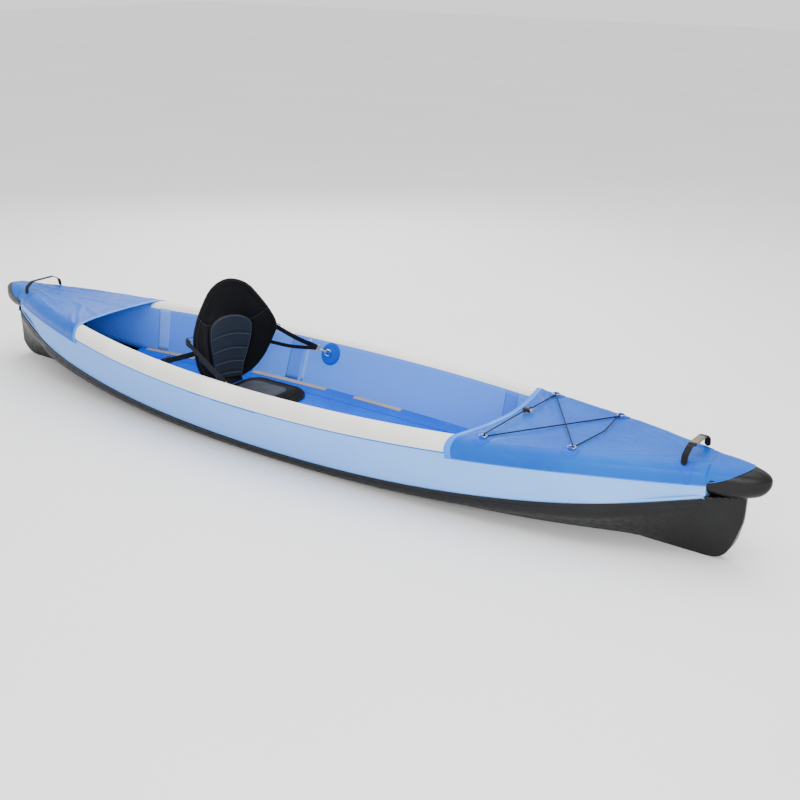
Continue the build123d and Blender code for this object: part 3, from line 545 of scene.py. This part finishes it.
def crease(x, y, start, end, width, height):
    """A soft ridge along a line on the deck, fading out at its ends."""
    a, b = Vector(start), Vector(end)
    run = b - a
    t = (Vector((x, y)) - a).dot(run) / run.length_squared
    if t < -0.3 or t > 1.3:
        return 0
    near = a + run * min(1, max(0, t))
    off = (Vector((x, y)) - near).length / width
    return height * exp(-off * off) * smooth(t, -0.3, 0.2) * (1 - smooth(t, 0.8, 1.3))


BOW_CREASES = [
    ((1.00, 0.36), (1.12, 0.20), 0.012, 0.0030), ((1.02, 0.30), (1.20, 0.09), 0.010, 0.0022),
    ((1.16, 0.30), (1.42, 0.22), 0.009, 0.0022), ((1.15, 0.27), (1.36, 0.10), 0.010, 0.0018),
    ((1.48, 0.19), (1.66, 0.08), 0.008, 0.0020), ((1.50, 0.22), (1.74, 0.16), 0.007, 0.0022),
    ((1.06, 0.10), (1.30, 0.03), 0.014, 0.0016), ((1.62, 0.15), (1.80, 0.04), 0.008, 0.0022),
    ((1.34, 0.05), (1.62, 0.02), 0.012, 0.0016), ((1.76, 0.14), (1.93, 0.06), 0.006, 0.0018),
    ((1.00, 0.42), (1.22, 0.37), 0.008, 0.0016), ((1.28, 0.34), (1.50, 0.28), 0.008, 0.0014),
]
STERN_CREASES = [
    ((1.24, 0.33), (1.42, 0.16), 0.012, 0.0034), ((1.25, 0.27), (1.50, 0.05), 0.012, 0.0026),
    ((1.30, 0.10), (1.58, 0.03), 0.013, 0.0020), ((1.44, 0.24), (1.72, 0.12), 0.009, 0.0024),
    ((1.55, 0.20), (1.80, 0.13), 0.007, 0.0020), ((1.66, 0.08), (1.90, 0.03), 0.008, 0.0020),
    ((1.28, 0.34), (1.50, 0.28), 0.008, 0.0018),
]
bow_patch_spots = [(x, half_beam(x) - WALL / 2, PATCH) for x in (BUNGEE_AFT, BUNGEE_FORE)]
foot_spot = (HANDLE_X, HANDLE_SPAN / 2 - 0.008, 0.044)


def wrinkle(end, x, y):
    """Height of the deck's creases and soft waves; calm under the patches."""
    across = abs(y) + 0.012 * noise.noise(Vector((x * 7, y * 7, 3)))
    creases = BOW_CREASES if end > 0 else STERN_CREASES
    high = sum(crease(abs(x), across * (1 if y > 0 else 0.96), *c) for c in creases)
    high += 0.0016 * noise.noise(Vector((x * 9, y * 13, 1.7)))
    high += 0.0007 * noise.noise(Vector((x * 24, y * 30, 5.2)))
    spots = [foot_spot] + (bow_patch_spots if end > 0 else [])
    for at_x, at_y, radius in spots:
        high *= smooth(hypot(abs(x) - at_x, abs(y) - at_y), radius + 0.004, radius + 0.035)
    return high


def deck_edge(end, length, y):
    """Station of the deck's curved edge."""
    edge = HALF - length
    chord = half_beam(edge)
    radius = (chord ** 2 + DECK_DIP ** 2) / (2 * DECK_DIP)
    return end * (edge + DECK_DIP - radius + sqrt(radius ** 2 - y ** 2))


def deck_surface(end, length):
    def surface(u, v, lift):
        gunwale = end * (HALF - length)
        x = gunwale + (end * CHAMBER_END - gunwale) * u
        y = deck_point(x, v, lift).y
        x += (deck_edge(end, length, y) - gunwale) * (1 - u) ** 2
        point = deck_point(x, v, lift)
        rise = wrinkle(end, point.x, point.y)
        on_chamber = smooth(abs(v), 0.8, 1.05)
        rise = max(rise, -0.002 * (1 - on_chamber)) * (1 - smooth(abs(v), 2.2, 2.9))
        point.z += max(rise, -0.0001 if on_chamber > 0.5 else rise)
        point.z -= 0.006 * (1 - smooth(abs(v), 0.1, 1.0)) * (1 - smooth(u, 0.0, 0.55))
        return point
    return surface


def middle_out(inner, arc, lap):
    half = [i / inner for i in range(inner)] + [1 + i / arc for i in range(arc)]
    half += [2 + i / lap for i in range(lap + 1)]
    return [-v for v in reversed(half[1:])] + half


def build_deck(end, length, label):
    surface = deck_surface(end, length)
    vs = middle_out(26, 12, 5)
    us = [(i / 110) ** 1.08 for i in range(111)]
    upper = [[surface(u, v, DECK_OUT) for v in vs] for u in us]
    lower = [[surface(u, v, DECK_OUT - 0.0012) for v in vs] for u in us]
    sheet = piece(f"{label}_deck_sheet", *closed_sheet(upper, lower), deck_vinyl)
    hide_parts(f"{label}_deck")
    band = sheet_piece(f"{label}_deck_hem", lambda u, v, lift: surface(u, v, DECK_OUT + 0.0001 + lift),
                       [0.001 + 0.026 * i / 5 for i in range(6)], vs, 0.0009, hem_vinyl)
    rim = [surface(0.0015, v, DECK_OUT) for v in vs]
    bead = swept(f"{label}_deck_bead", rim, [(s * 1.0, u * 0.8) for s, u in circle(0.0026, 8)],
                 hem_vinyl, start_up=(0.9, 0.1, 0.4))
    for side in (1, -1):
        edge = [surface(u, side * 2.97, DECK_OUT + 0.0004) for u in us]
        seam = swept(f"{label}_deck_lap_{'left' if side > 0 else 'right'}", edge,
                     [(s * 0.5, u * 1.6) for s, u in circle(0.0016, 8)], seam_vinyl)
    return sheet


build_deck(1, BOW_DECK, "bow")
build_deck(-1, STERN_DECK, "stern")


def cap_top(x, side, share, lift):
    """A point on a nose cap's skin: share 0 at its top middle, 1 at the foot of its side."""
    s = max(0.0, (x - HALF + NOSE) / NOSE)
    width = (half_beam(HALF - NOSE) + 0.002) * (1 - s ** 1.6) ** 0.6
    shrink = sqrt(1 - s ** 5)
    top = 0.351 + (wall_top(HALF - NOSE) + 0.003 - 0.351) * shrink
    low = 0.351 - (0.351 - 0.272) * shrink
    middle, tall = (top + low) / 2, (top - low) / 2
    corner = 0.88 * min(width, tall)
    flat = width - corner
    path = flat + corner * pi / 2 + (tall - corner) * 2
    run = share * path
    reach = corner + lift
    if run < flat:
        return Vector((x, side * run, top + lift))
    angle = min(pi / 2, (run - flat) / corner)
    point = Vector((x, side * (flat + reach * sin(angle)), top - corner + reach * cos(angle)))
    point.z -= max(0, run - flat - corner * pi / 2)
    return point


TONGUE = 0.137                 # how far the deck's skin runs over a nose cap
TONGUE_LAP = 0.012             # and how far back over the deck


def tongue(end, label):
    """The tip of the deck's skin, welded over the top of the nose cap."""
    upper, lower = [], []
    for i in range(29):
        u = i / 28
        x = HALF - NOSE - TONGUE_LAP + (TONGUE + TONGUE_LAP) * u
        reach = 0.97 * sqrt(max(0.0, 1 - u ** 1.5))
        rows = ([], [])
        for j in range(-14, 15):
            for row, lift in zip(rows, (0.0016, 0.0001)):
                point = cap_top(x, 1 if j >= 0 else -1, max(0.002, reach) * abs(j) / 14, lift)
                row.append(Vector((end * point.x, point.y, point.z)))
        upper.append(rows[0])
        lower.append(rows[1])
    tip = piece(f"{label}_deck_tip", *closed_sheet(upper, lower), deck_vinyl)
    outline = [row[0] for row in upper] + [row[-1] for row in reversed(upper[:-1])]
    rim = swept(f"{label}_deck_tip_edge", outline, [(s * 0.9, u * 0.7) for s, u in circle(0.0016, 6)],
                seam_vinyl)


def stem_bead(end, label):
    """The weld that closes a stem's top against the nose cap."""
    top = [v.co for v in nodes[f"{label}_stem"].data.vertices if v.co.z > 0.262]
    tip = max(abs(point.x) for point in top)
    half = []
    for x in stations(CHAMBER_END - 0.004, tip - 0.002, 16):
        near = [abs(point.y) for point in top if abs(abs(point.x) - x) < 0.012]
        wide = min(max(near, default=0.007), half_beam(HALF - NOSE))
        half.append((end * x, max(0.006, wide - 0.003)))
    half = [(x, min(y for _, y in half[:k + 1])) for k, (x, y) in enumerate(half)]
    outline = [(x, y, 0.2700) for x, y in half] + [(x, -y, 0.2700) for x, y in reversed(half)]
    bead = swept(f"{label}_stem_bead", curve_through(outline, 90), circle(0.0058, 10), black_vinyl,
                 start_up=(0, 0, 1))


for end, label in ((1, "bow"), (-1, "stern")):
    tongue(end, label)
    stem_bead(end, label)


# ---------------------------------------------------------------- side walls


def side_ribbon(name, first, last, side, up, width, thick, material, count=60):
    """A strip along the outside of a wall; up is a function of the station."""
    def surface(x, v, lift):
        return on_outside(x, side, up(x) + v * width, 0.0002 + lift)
    strip = sheet_piece(name, surface, stations(first, last, count), [-0.5, -0.4, 0.4, 0.5], thick,
                        material)
    return strip


def panel_edge(x):
    return wall_foot(x) + FOOT_LAP


for side, hand in ((1, "left"), (-1, "right")):
    ribs = (("edge_bead", 0.0, 0.0042, 0.0024), ("rub_line", 0.019, 0.0040, 0.0016))
    for label, drop, lift, thick in ribs:
        path = [on_outside(x, side, panel_edge(x) - drop, lift) for x in stations(-1.935, 1.935, 150)]
        outline = [(s * 0.8, u * 1.3) for s, u in circle(thick, 8)]
        rib = swept(f"{label}_{hand}", path, outline, black_bead)
    side_ribbon(f"band_seam_{hand}", -1.262, 1.015, side, lambda x: -0.0045, 0.007, 0.0005, seam_vinyl,
                120)
    side_ribbon(f"panel_weld_{hand}", -1.93, 1.93, side, lambda x: panel_edge(x) + 0.010, 0.012, 0.0005,
                wall_vinyl, 140)
    for label, first, last in (("a", -0.337, -0.267), ("b", -0.195, 0.061)):
        side_ribbon(f"band_joint_{hand}_{label}", first, last, side, lambda x: -0.0090, 0.006, 0.0011,
                    deep_seam_and_painted_shade, 12)
    # stripes of painted shade (deep) and painted light (pale) on each inner wall, drawn as thin sheets
    painted_light_and_shade = (
        ("a", -1.215, -1.150, painted_light_blue), ("b", -0.985, -0.830, deep_seam_and_painted_shade),
        ("c", -0.395, -0.318, deep_seam_and_painted_shade), ("d", -0.300, -0.285, painted_light_blue),
        ("e", 0.860, 0.930, deep_seam_and_painted_shade),
    )
    for label, first, last, material in painted_light_and_shade:
        def inner_skin(x, share, lift):
            low, high = FLOOR_TOP + 0.016, wall_top(x) - 0.022
            return on_inside(x, side, low + (high - low) * share, 0.0004 + lift)
        patch = sheet_piece(f"wall_overlay_{hand}_{label}", inner_skin, stations(first, last, 9),
                            [i / 10 for i in range(11)], 0.0007, material)

# ---------------------------------------------------------------- handles, rings


def ring_weld(name, x, y, radius):
    """A raised weld line round a deck patch."""
    path = []
    for k in range(40):
        angle = 2 * pi * k / 40
        at_x, at_y = x + radius * cos(angle), abs(y) + radius * sin(angle)
        middle_y, middle_z = wall_point(at_x, 0, 0)
        reach = WALL / 2 + DECK_OUT + 0.0019
        beyond = max(0, at_y - middle_y)
        path.append((at_x, at_y * (1 if y > 0 else -1), middle_z + sqrt(reach ** 2 - beyond ** 2)))
    weld = swept(name, path, [(s, u * 0.7) for s, u in circle(0.0013, 6)], patch_vinyl, closed=True)


for place, x in (("aft", BUNGEE_AFT), ("fore", BUNGEE_FORE)):
    for side, hand in ((1, "left"), (-1, "right")):
        y = side * (half_beam(x) - WALL / 2)
        ring_weld(f"ring_weld_{place}_{hand}", x, y, PATCH - 0.0045)
        ring_weld(f"ring_weld_inner_{place}_{hand}", x, y, PATCH * 0.6)

grip_low, grip_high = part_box("bow_handle_grip")
grip_middle = (grip_low + grip_high) / 2


def rounded_box(width, height, corner, count=6):
    out = []
    for quarter, (cx, cy) in enumerate(((1, 1), (-1, 1), (-1, -1), (1, -1))):
        for k in range(count):
            angle = pi / 2 * (quarter + k / (count - 1))
            out.append((cx * (width / 2 - corner) + corner * cos(angle),
                        cy * (height / 2 - corner) + corner * sin(angle)))
    return out


grip_long = grip_high.y - grip_low.y
grip_path = [(grip_middle.x, grip_low.y + 0.011 + (grip_long - 0.022) * i / 110, grip_middle.z)
             for i in range(111)]
grip_outline = rounded_box(grip_high.x - grip_low.x, grip_high.z - grip_low.z, 0.0055)
grip = swept("bow_handle_grip_cover", grip_path, grip_outline, grip_rubber, "bow_handle",
             turn=lambda i: (0.94 + 0.05 * abs(sin(pi * i / 11)) ** 0.5, 0))
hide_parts("bow_handle_grip")
for side, hand in ((1, "left"), (-1, "right")):
    start = grip_middle + Vector((0, side * (grip_long / 2 - 0.012), 0))
    collar_path = [start + Vector((0, side * 0.0012 * i, 0)) for i in range(11)]
    collar = swept(f"bow_handle_collar_{hand}", collar_path, grip_outline, nose_rubber, "bow_handle",
                   turn=lambda i: (1.0 - 0.12 * (i / 10) ** 3, 0))


# ---------------------------------------------------------------- seat

BACK_LOW, BACK_HIGH = HINGE.z + 0.008, HINGE.z + 0.520
BACK_TALL = BACK_HIGH - BACK_LOW
BACK_HALF = 0.213
BACK_BOW = 0.270
LEAN = atan(0.14)
BACK_TURN = radians(-20)       # the straps pull the backrest round, port wing forward
BACK_PROFILE = [(0.33, 0), (0.60, 0.08), (0.80, 0.21), (0.94, 0.39), (1, 0.53), (0.90, 0.66),
                (0.68, 0.81), (0.40, 0.945), (0, 1)]
profile = curve_through([(y, z, 0) for y, z in BACK_PROFILE + [(-0.40, 0.945)]], 451)
profile = [p for p in profile if p.x >= 0]
profile_y = np.array([p.x for p in profile])
profile_z = np.maximum.accumulate(np.array([p.y for p in profile]))


def back_point(y, z, depth):
    """Backrest's curved, leaning space: y and z as seen from the front, depth behind its front face."""
    local = BACK_BOW - sqrt(max(0.0, (BACK_BOW + depth) ** 2 - y * y))
    rise = (z - BACK_LOW + local * sin(LEAN)) / cos(LEAN)
    x = -0.002 + local * cos(LEAN) + rise * sin(LEAN)
    c, s = cos(BACK_TURN), sin(BACK_TURN)
    return Vector((HINGE.x + x * c - y * s, x * s + y * c, z))


def back_half(z, low, high, wide):
    """Half width of the backrest's outline at height z."""
    share = (z - low) / (high - low)
    return wide * float(np.interp(share, profile_z, profile_y))


def outline_points(low, high, wide, count=240):
    """The outline, up the port side and down the starboard side."""
    half = [(wide * float(y), low + (high - low) * float(z)) for y, z in zip(profile_y, profile_z)]
    half = half[::max(1, len(half) // (count // 2))] + [(0.0, high)]
    return np.array(half + [(-y, z) for y, z in reversed(half[:-1])])


def away(points, line):
    """Distance of each point from a polyline."""
    best = np.full(len(points), 9.0)
    for a, b in zip(line[:-1], line[1:]):
        run = b - a
        t = np.clip(((points - a) @ run) / max(1e-12, run @ run), 0, 1)
        best = np.minimum(best, np.hypot(*(points - a - t[:, None] * run).T))
    return best


PANEL_LOW, PANEL_HIGH = BACK_LOW + 0.012, BACK_LOW + 0.66 * 0.512


def panel_half(z):
    """Half width of the channelled panel: a narrow foot and broad round shoulders."""
    share = (z - PANEL_LOW) / (PANEL_HIGH - PANEL_LOW)
    body = 0.072 + 0.036 * smooth(share, 0.0, 0.75)
    shoulder = sqrt(max(0.0, 1 - max(0.0, (share - 0.80) / 0.20) ** 2.4))
    return body * shoulder


def panel_line(grow, count=80):
    zs = [PANEL_LOW + (PANEL_HIGH - PANEL_LOW) * sin(pi / 2 * i / count) for i in range(count + 1)]
    half = [(panel_half(z) + grow, z + grow * 0.8 * (i / count) ** 3) for i, z in enumerate(zs)]
    half.append((0.0, PANEL_HIGH + grow * 0.8))
    return np.array(half + [(-y, z) for y, z in reversed(half[:-1])])


def mirrored(points):
    return np.array(points), np.array([(-y, z) for y, z in points])


outer_line = outline_points(BACK_LOW, BACK_HIGH, BACK_HALF)
shoulder_z = PANEL_HIGH - 0.045
seam_lines = [panel_line(0.007)]
seam_lines += mirrored([(0.098, shoulder_z + 0.010), (0.128, shoulder_z + 0.020),
                        (0.160, shoulder_z + 0.046), (0.178, shoulder_z + 0.070)])
inset_line = outline_points(BACK_LOW + 0.020, BACK_HIGH - 0.024, BACK_HALF - 0.021)

columns = [sin(pi / 2 * (-1 + 2 * j / 150)) for j in range(151)]
rows = [BACK_LOW + BACK_TALL * sin(pi / 2 * i / 170) for i in range(171)]
flat = np.array([(c * (1e-4 + back_half(z, BACK_LOW, BACK_HIGH, BACK_HALF)), z)
                 for z in rows for c in columns])
rim = away(flat, outer_line)
rim = np.minimum(rim, np.abs(flat[:, 1] - BACK_LOW))
border = away(flat, inset_line)
seams = np.min([away(flat, line) for line in seam_lines], axis=0)
nearest = np.minimum(seams, border)

rounding = 0.013 * (1 - np.sqrt(1 - np.clip(1 - rim / 0.022, 0, 1) ** 2))
front = 0.0105 + rounding + 0.0052 * np.exp(-(seams / 0.0036) ** 2)
front += 0.0030 * np.exp(-(border / 0.0028) ** 2)
front -= 0.0085 * (1 - np.exp(-((nearest / 0.024) ** 1.6)))
folds = [noise.noise(Vector((y * 16, z * 9, 2.0))) + 0.5 * noise.noise(Vector((y * 40, z * 22, 7.0)))
         for y, z in flat]
front += 0.0011 * np.array(folds) * np.clip(rim / 0.03, 0, 1)
back = 0.0370 - rounding + 0.0030 * np.exp(-(border / 0.004) ** 2) * -1
back += 0.0009 * np.array(folds)

size = len(columns)
grid_front = [[back_point(*flat[i * size + j], front[i * size + j]) for j in range(size)]
              for i in range(len(rows))]
grid_back = [[back_point(*flat[i * size + j], back[i * size + j]) for j in range(size)]
             for i in range(len(rows))]
back_pad = piece("backrest_pad", *closed_sheet(grid_front, grid_back), seat_mesh, "backrest")
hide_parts("backrest")

piping_path = [back_point(y, z, 0.0225) for y, z in outer_line]
piping_path += [back_point(-BACK_HALF * 0.33 * (1 - 2 * k / 12), BACK_LOW, 0.0225)
                for k in range(1, 12)]
piping = swept("backrest_piping", piping_path, circle(0.0052, 10), piping_cloth, "backrest",
               closed=True, start_up=(1, 0, 0))
trims = (("border", inset_line, 0.0118, 0.0014), ("panel", panel_line(0.006), 0.0128, 0.0026))
for label, line, depth, radius in trims:
    cord_path = [back_point(y, z, depth) for y, z in line[::2]]
    trim = swept(f"backrest_{label}_trim", cord_path, circle(radius, 8), piping_cloth, "backrest",
                 start_up=(1, 0, 0))
for hand, line in zip(("left", "right"), seam_lines[1:]):
    path = [back_point(p.x, p.y, 0.0125) for p in curve_through([(y, z, 0) for y, z in line], 24)]
    trim = swept(f"backrest_shoulder_seam_{hand}", path, circle(0.0015, 6), thread, "backrest",
                 start_up=(1, 0, 0))

# Channelled panel: four moulded channels, each with a painted highlight in pale grey along its lower lip

CHANNELS = [PANEL_HIGH - 0.088, PANEL_HIGH - 0.163, PANEL_HIGH - 0.232, PANEL_HIGH - 0.292]
CHANNEL_TALL = 0.013


def channel_height(y, middle):
    """A channel arches down a little towards the panel's sides."""
    return middle - 0.012 * (y / 0.1) ** 2


panel_rows = [PANEL_LOW + (PANEL_HIGH - PANEL_LOW) * i / 230 for i in range(231)]
panel_cols = [sin(pi / 2 * (-1 + 2 * j / 70)) for j in range(71)]
panel_front, panel_back = [], []
panel_edge_line = panel_line(0.0)
panel_flat = np.array([(c * (1e-4 + panel_half(z)), z) for z in panel_rows for c in panel_cols])
panel_rim = np.minimum(away(panel_flat, panel_edge_line), np.abs(panel_flat[:, 1] - PANEL_LOW))
for i, z in enumerate(panel_rows):
    row_front, row_back = [], []
    for j in range(len(panel_cols)):
        y, z = panel_flat[i * len(panel_cols) + j]
        d = panel_rim[i * len(panel_cols) + j]
        depth = 0.0015 + 0.0085 * (1 - sqrt(1 - max(0.0, 1 - d / 0.009) ** 2))
        inside = smooth(d, 0.006, 0.014)
        for middle in CHANNELS:
            off = z - channel_height(y, middle)
            sunk = smooth(off, -CHANNEL_TALL / 2 - 0.002, -CHANNEL_TALL / 2 + 0.002)
            sunk *= 1 - smooth(off, CHANNEL_TALL / 2 - 0.005, CHANNEL_TALL / 2 + 0.003)
            depth += 0.0046 * sunk * inside
            depth -= 0.0012 * exp(-((off + CHANNEL_TALL / 2 + 0.004) / 0.004) ** 2) * inside
        row_front.append(back_point(y, z, depth - 0.0085))
        row_back.append(back_point(y, z, 0.0075))
    panel_front.append(row_front)
    panel_back.append(row_back)
channel_panel = piece("backrest_channel_panel", *closed_sheet(panel_front, panel_back), channel_foam,
                      "backrest")
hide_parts("backrest_panel")
for k, middle in enumerate(CHANNELS):
    low = middle - CHANNEL_TALL / 2 - 0.001
    reach = panel_half(low) - 0.010
    path = [back_point(y, channel_height(y, low), -0.0078) for y in stations(-reach, reach, 40)]
    outline = [(s * 0.9, u * 0.7) for s, u in circle(0.0012, 8)]
    lip = swept(f"backrest_channel_lip_{k + 1}", path, outline, painted_highlight_trim, "backrest",
                start_up=(1, 0, 0))
# the panel's edge lip carries the same painted highlight
lip_line = panel_line(-0.0035)
lip = swept("backrest_panel_lip", [back_point(y, z, -0.0052) for y, z in lip_line[::2]],
            [(s, u * 0.7) for s, u in circle(0.0013, 8)], painted_highlight_trim, "backrest", start_up=(1, 0, 0))

# Seat base and its pad

base_low, base_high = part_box("seat_base")
pad_low, pad_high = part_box("seat_base_pad")


def rounded_share(u, v, corner_u, corner_v, power=4.5):
    """Maps a square's point to a rounded square's, so a grid keeps its rows inside round corners."""
    bulge = (abs(u) ** power + abs(v) ** power) ** (1 / power)
    biggest = max(abs(u), abs(v), 1e-9)
    scale = biggest / bulge if bulge > 0 else 1
    blend = smooth(min(abs(u), abs(v)), 1 - max(corner_u, corner_v) * 2, 1)
    return u * (1 + (scale - 1) * blend), v * (1 + (scale - 1) * blend)


def cushion(name, low, high, material, crown, seam_at, groove, edge, slope=0.0, count=90):
    """A crowned pad with a sewn border; slope thins its bow edge."""
    middle, half = (low + high) / 2, (high - low) / 2
    upper, lower = [], []
    for i in range(count + 1):
        row_up, row_low = [], []
        for j in range(count + 1):
            u, v = sin(pi / 2 * (-1 + 2 * i / count)), sin(pi / 2 * (-1 + 2 * j / count))
            su, sv = rounded_share(u, v, 0.33, 0.3)
            pull = 1 - 0.012 * (1 - abs(v) ** 2) * abs(u) - 0.010 * (1 - abs(u) ** 2) * abs(v)
            x, y = middle.x + half.x * su * pull, middle.y + half.y * sv * pull
            inside = min(half.x * (1 - abs(u)), half.y * (1 - abs(v)))
            rounded = 1 - sqrt(max(0.0, 1 - max(0.0, 1 - inside / edge) ** 2))
            top = high.z - rounded * (high.z - low.z) * 0.62
            top += crown * (smooth(inside, seam_at, seam_at * 2.6) - 1)
            top -= groove * exp(-((inside - seam_at) / 0.0034) ** 2)
            top += 0.0009 * noise.noise(Vector((x * 18, y * 18, 4)))
            if slope:
                top -= (high.z - low.z - 0.010) * smooth(x, high.x - slope, high.x + 0.004)
            bottom = low.z + rounded * (high.z - low.z) * 0.25
            row_up.append(Vector((x, y, max(top, bottom + 0.0006))))
            row_low.append(Vector((x, y, bottom)))
        upper.append(row_up)
        lower.append(row_low)
    return piece(name, *closed_sheet(upper, lower), material)


base_pad = cushion("seat_base_cushion", base_low, base_high, base_mesh, 0.003, 0.030, 0.0035, 0.018,
                   slope=0.075)
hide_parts("seat_base")
inset_low = Vector((pad_low.x, pad_low.y, pad_low.z - 0.0020))
inset_high = pad_high + Vector((0, 0, 0.001))
inset = cushion("seat_base_inset", inset_low, inset_high, pad_grey, 0.0008, 0.010, 0.0009, 0.004, count=70)
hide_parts("seat_base_pad")
base_middle, base_half = (base_low + base_high) / 2, (base_high - base_low) / 2
rim_path = []
for k in range(120):
    angle = 2 * pi * k / 120
    c, s = cos(angle), sin(angle)
    grow = 1 / (abs(c) ** 5 + abs(s) ** 5) ** 0.2
    x = base_middle.x + base_half.x * c * grow * 0.985
    drop = 0.016 * smooth(x, base_high.x - 0.070, base_high.x)
    rim_path.append((x, base_middle.y + base_half.y * s * grow * 0.985, base_low.z + 0.022 - drop))
base_piping = swept("seat_base_piping", rim_path, circle(0.0040, 8), piping_cloth, closed=True)

# Cloth hinge between the base and the backrest

hinge_front, hinge_back = [], []
for i in range(15):
    t = i / 14
    x = base_low.x + 0.010 - 0.022 * t
    z = base_high.z - 0.004 + (BACK_LOW + 0.016 - base_high.z) * t
    bow = 0.006 * sin(pi * t)
    hinge_front.append([Vector((x + bow, y, z)) for y in stations(-0.085, 0.085, 30)])
    hinge_back.append([Vector((x + bow - 0.0016, y, z - 0.0008)) for y in stations(-0.085, 0.085, 30)])
flap = piece("seat_hinge_cloth", *closed_sheet(hinge_front, hinge_back), seat_cloth, body=None)
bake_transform(flap)

# Seat straps: each bends between its wall ring and the backrest


def strap_ends(name):
    """Middle of a strap's ring end and of its backrest end."""
    corners = sorted((v.co.copy() for v in nodes[name].data.vertices), key=lambda p: p.x)
    half = len(corners) // 2
    ends = [sum(group, Vector()) / half for group in (corners[:half], corners[half:])]
    return ends[::-1] if "front" in name else ends


def strap(name, path, width, side_way, replaced=None, thick=0.0022):
    points = curve_through(path, 44)
    made = swept(name, points, slab(width, thick), black_web, body=None, start_up=side_way)
    if replaced:
        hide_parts(replaced)
    start, end = path[0], path[-1]
    tuple(start)
    tuple(end)
    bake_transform(made)
    return made


def buckle(name, middle, along, up, body, width=0.034, length=0.030):
    """A ladder lock: a bowed frame with two bars across it."""
    along, up = Vector(along).normalized(), Vector(up).normalized()
    side = along.cross(up).normalized()
    up = side.cross(along)
    frame_path = []
    for k in range(36):
        angle = 2 * pi * k / 36
        c, s = cos(angle), sin(angle)
        grow = 1 / (abs(c) ** 6 + abs(s) ** 6) ** (1 / 6)
        frame_path.append(middle + along * c * grow * length / 2 + side * s * grow * width / 2
                          + up * 0.003 * c * c)
    loop = swept(name, frame_path, [(s, u * 0.8) for s, u in circle(0.0026, 8)], buckle_plastic, body,
                 closed=True, start_up=up)
    for k, at in enumerate((-0.16, 0.16)):
        bar = [middle + along * at * length + side * width * (t - 0.5) * 0.92 + up * 0.002
               for t in stations(0, 1, 8)]
        part = swept(f"{name}_bar_{k + 1}", bar, circle(0.0020, 8), buckle_plastic, body, start_up=up)


for hand, side in (("left", 1), ("right", -1)):
    for row in ("front", "rear"):
        node = f"seat_strap_{row}_{hand}"
        ring_end, back_end = strap_ends(node)
        run = (back_end - ring_end).normalized()
        out = Vector((0, side, 0))
        across = run.cross(out).normalized()
        normal = across.cross(run).normalized()
        sag = ring_end.lerp(back_end, 0.5) - Vector((0, 0, 0.004))
        if row == "front":
            wing = back_point(side * 0.196, back_end.z + 0.012, 0.047)
            tuck = back_point(side * 0.150, back_end.z + 0.016, 0.045)
            path = [ring_end, sag, back_end + out * 0.004, wing, tuck]
        else:
            path = [ring_end, sag, back_end, back_point(side * 0.050, back_end.z + 0.008, 0.044)]
        strap(node + "_webbing", path, WEBBING, tuple(normal), node)
        fold = [ring_end + normal * 0.0026, ring_end.lerp(back_end, 0.10) + normal * 0.0030,
                ring_end.lerp(back_end, 0.20) + normal * 0.0026]
        strap(f"{node}_fold", fold, WEBBING * 0.96, tuple(normal), thick=0.0020)
        if row == "front":
            low_end = back_point(side * 0.178, BACK_LOW + 0.180, 0.046)
            under = ring_end.lerp(low_end, 0.5) - Vector((0, 0, 0.010)) - normal * 0.002
            tuck = back_point(side * 0.120, BACK_LOW + 0.176, 0.046)
            strap(f"{node}_lower", [ring_end - Vector((0, 0, 0.004)), under, low_end, tuck],
                  WEBBING * 0.8, tuple(normal))
            middle = back_end.lerp(ring_end, 0.06) + out * 0.006
            buckle(f"ladder_lock_{hand}", middle, run, normal, "backrest")
        else:
            middle = ring_end.lerp(back_end, 0.16) + normal * 0.003
            buckle(f"rear_lock_{hand}", middle, run, normal, "hull")

# ---------------------------------------------------------------- stage, light and camera


def light(name, place, target, size, power, colour=(1, 1, 1)):
    data = bpy.data.lights.new(name, "AREA")
    data.shape = "RECTANGLE"
    data.size, data.size_y = size
    data.energy = power
    data.color = colour
    lamp = bpy.data.objects.new(name, data)
    bpy.context.scene.collection.objects.link(lamp)
    lamp.location = place
    lamp.rotation_euler = (Vector(target) - Vector(place)).to_track_quat("-Z", "Y").to_euler()


floor_finish = Finish("studio_floor", Specular_IOR_Level=0.1)
floor_cloud = floor_finish.ramp(floor_finish.noise(0.6, 2.0), 0.3, 0.7)
floor_tone = floor_finish.mix(floor_cloud, (0.90, 0.90, 0.90, 1), (0.93, 0.93, 0.93, 1))
floor_material = floor_finish.finish(floor_tone, 0.9)
FLOOR_HALF = 30
floor_corners = [(x * FLOOR_HALF, y * FLOOR_HALF, 0) for x, y in ((-1, -1), (1, -1), (1, 1), (-1, 1))]
floor = piece("studio_floor", floor_corners, [(0, 1, 2, 3)], floor_material, body=None)
floor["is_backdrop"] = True

world = bpy.data.worlds.new("studio")
bpy.context.scene.world = world
world.use_nodes = True
world.node_tree.nodes["Background"].inputs["Color"].default_value = (1, 1, 1, 1)
world.node_tree.nodes["Background"].inputs["Strength"].default_value = 1.25
light("overhead", (0.6, 0.4, 4.2), (0, 0, 0.2), (6.0, 4.0), 240)
light("front_fill", (3.4, -4.6, 2.4), (0.3, 0, 0.2), (3.0, 2.0), 170)
light("rear_rim", (-3.2, 3.4, 2.6), (0, 0, 0.3), (3.0, 1.5), 90)

camera_data = bpy.data.cameras.new("camera")
camera = bpy.data.objects.new("camera", camera_data)
bpy.context.scene.collection.objects.link(camera)
forward = Vector((-0.54295903, 0.75998011, -0.35724743))
up = Vector((-0.21547993, 0.28508698, 0.93396671))
right = forward.cross(up)
turn = Matrix((right, up, -forward)).transposed()
camera.matrix_world = Matrix.Translation((3.33104, -3.95231, 2.14768)) @ turn.to_4x4()
camera_data.sensor_width = 36
camera_data.lens = 53.93
camera_data.clip_end = 60
bpy.context.scene.camera = camera

low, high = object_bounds()
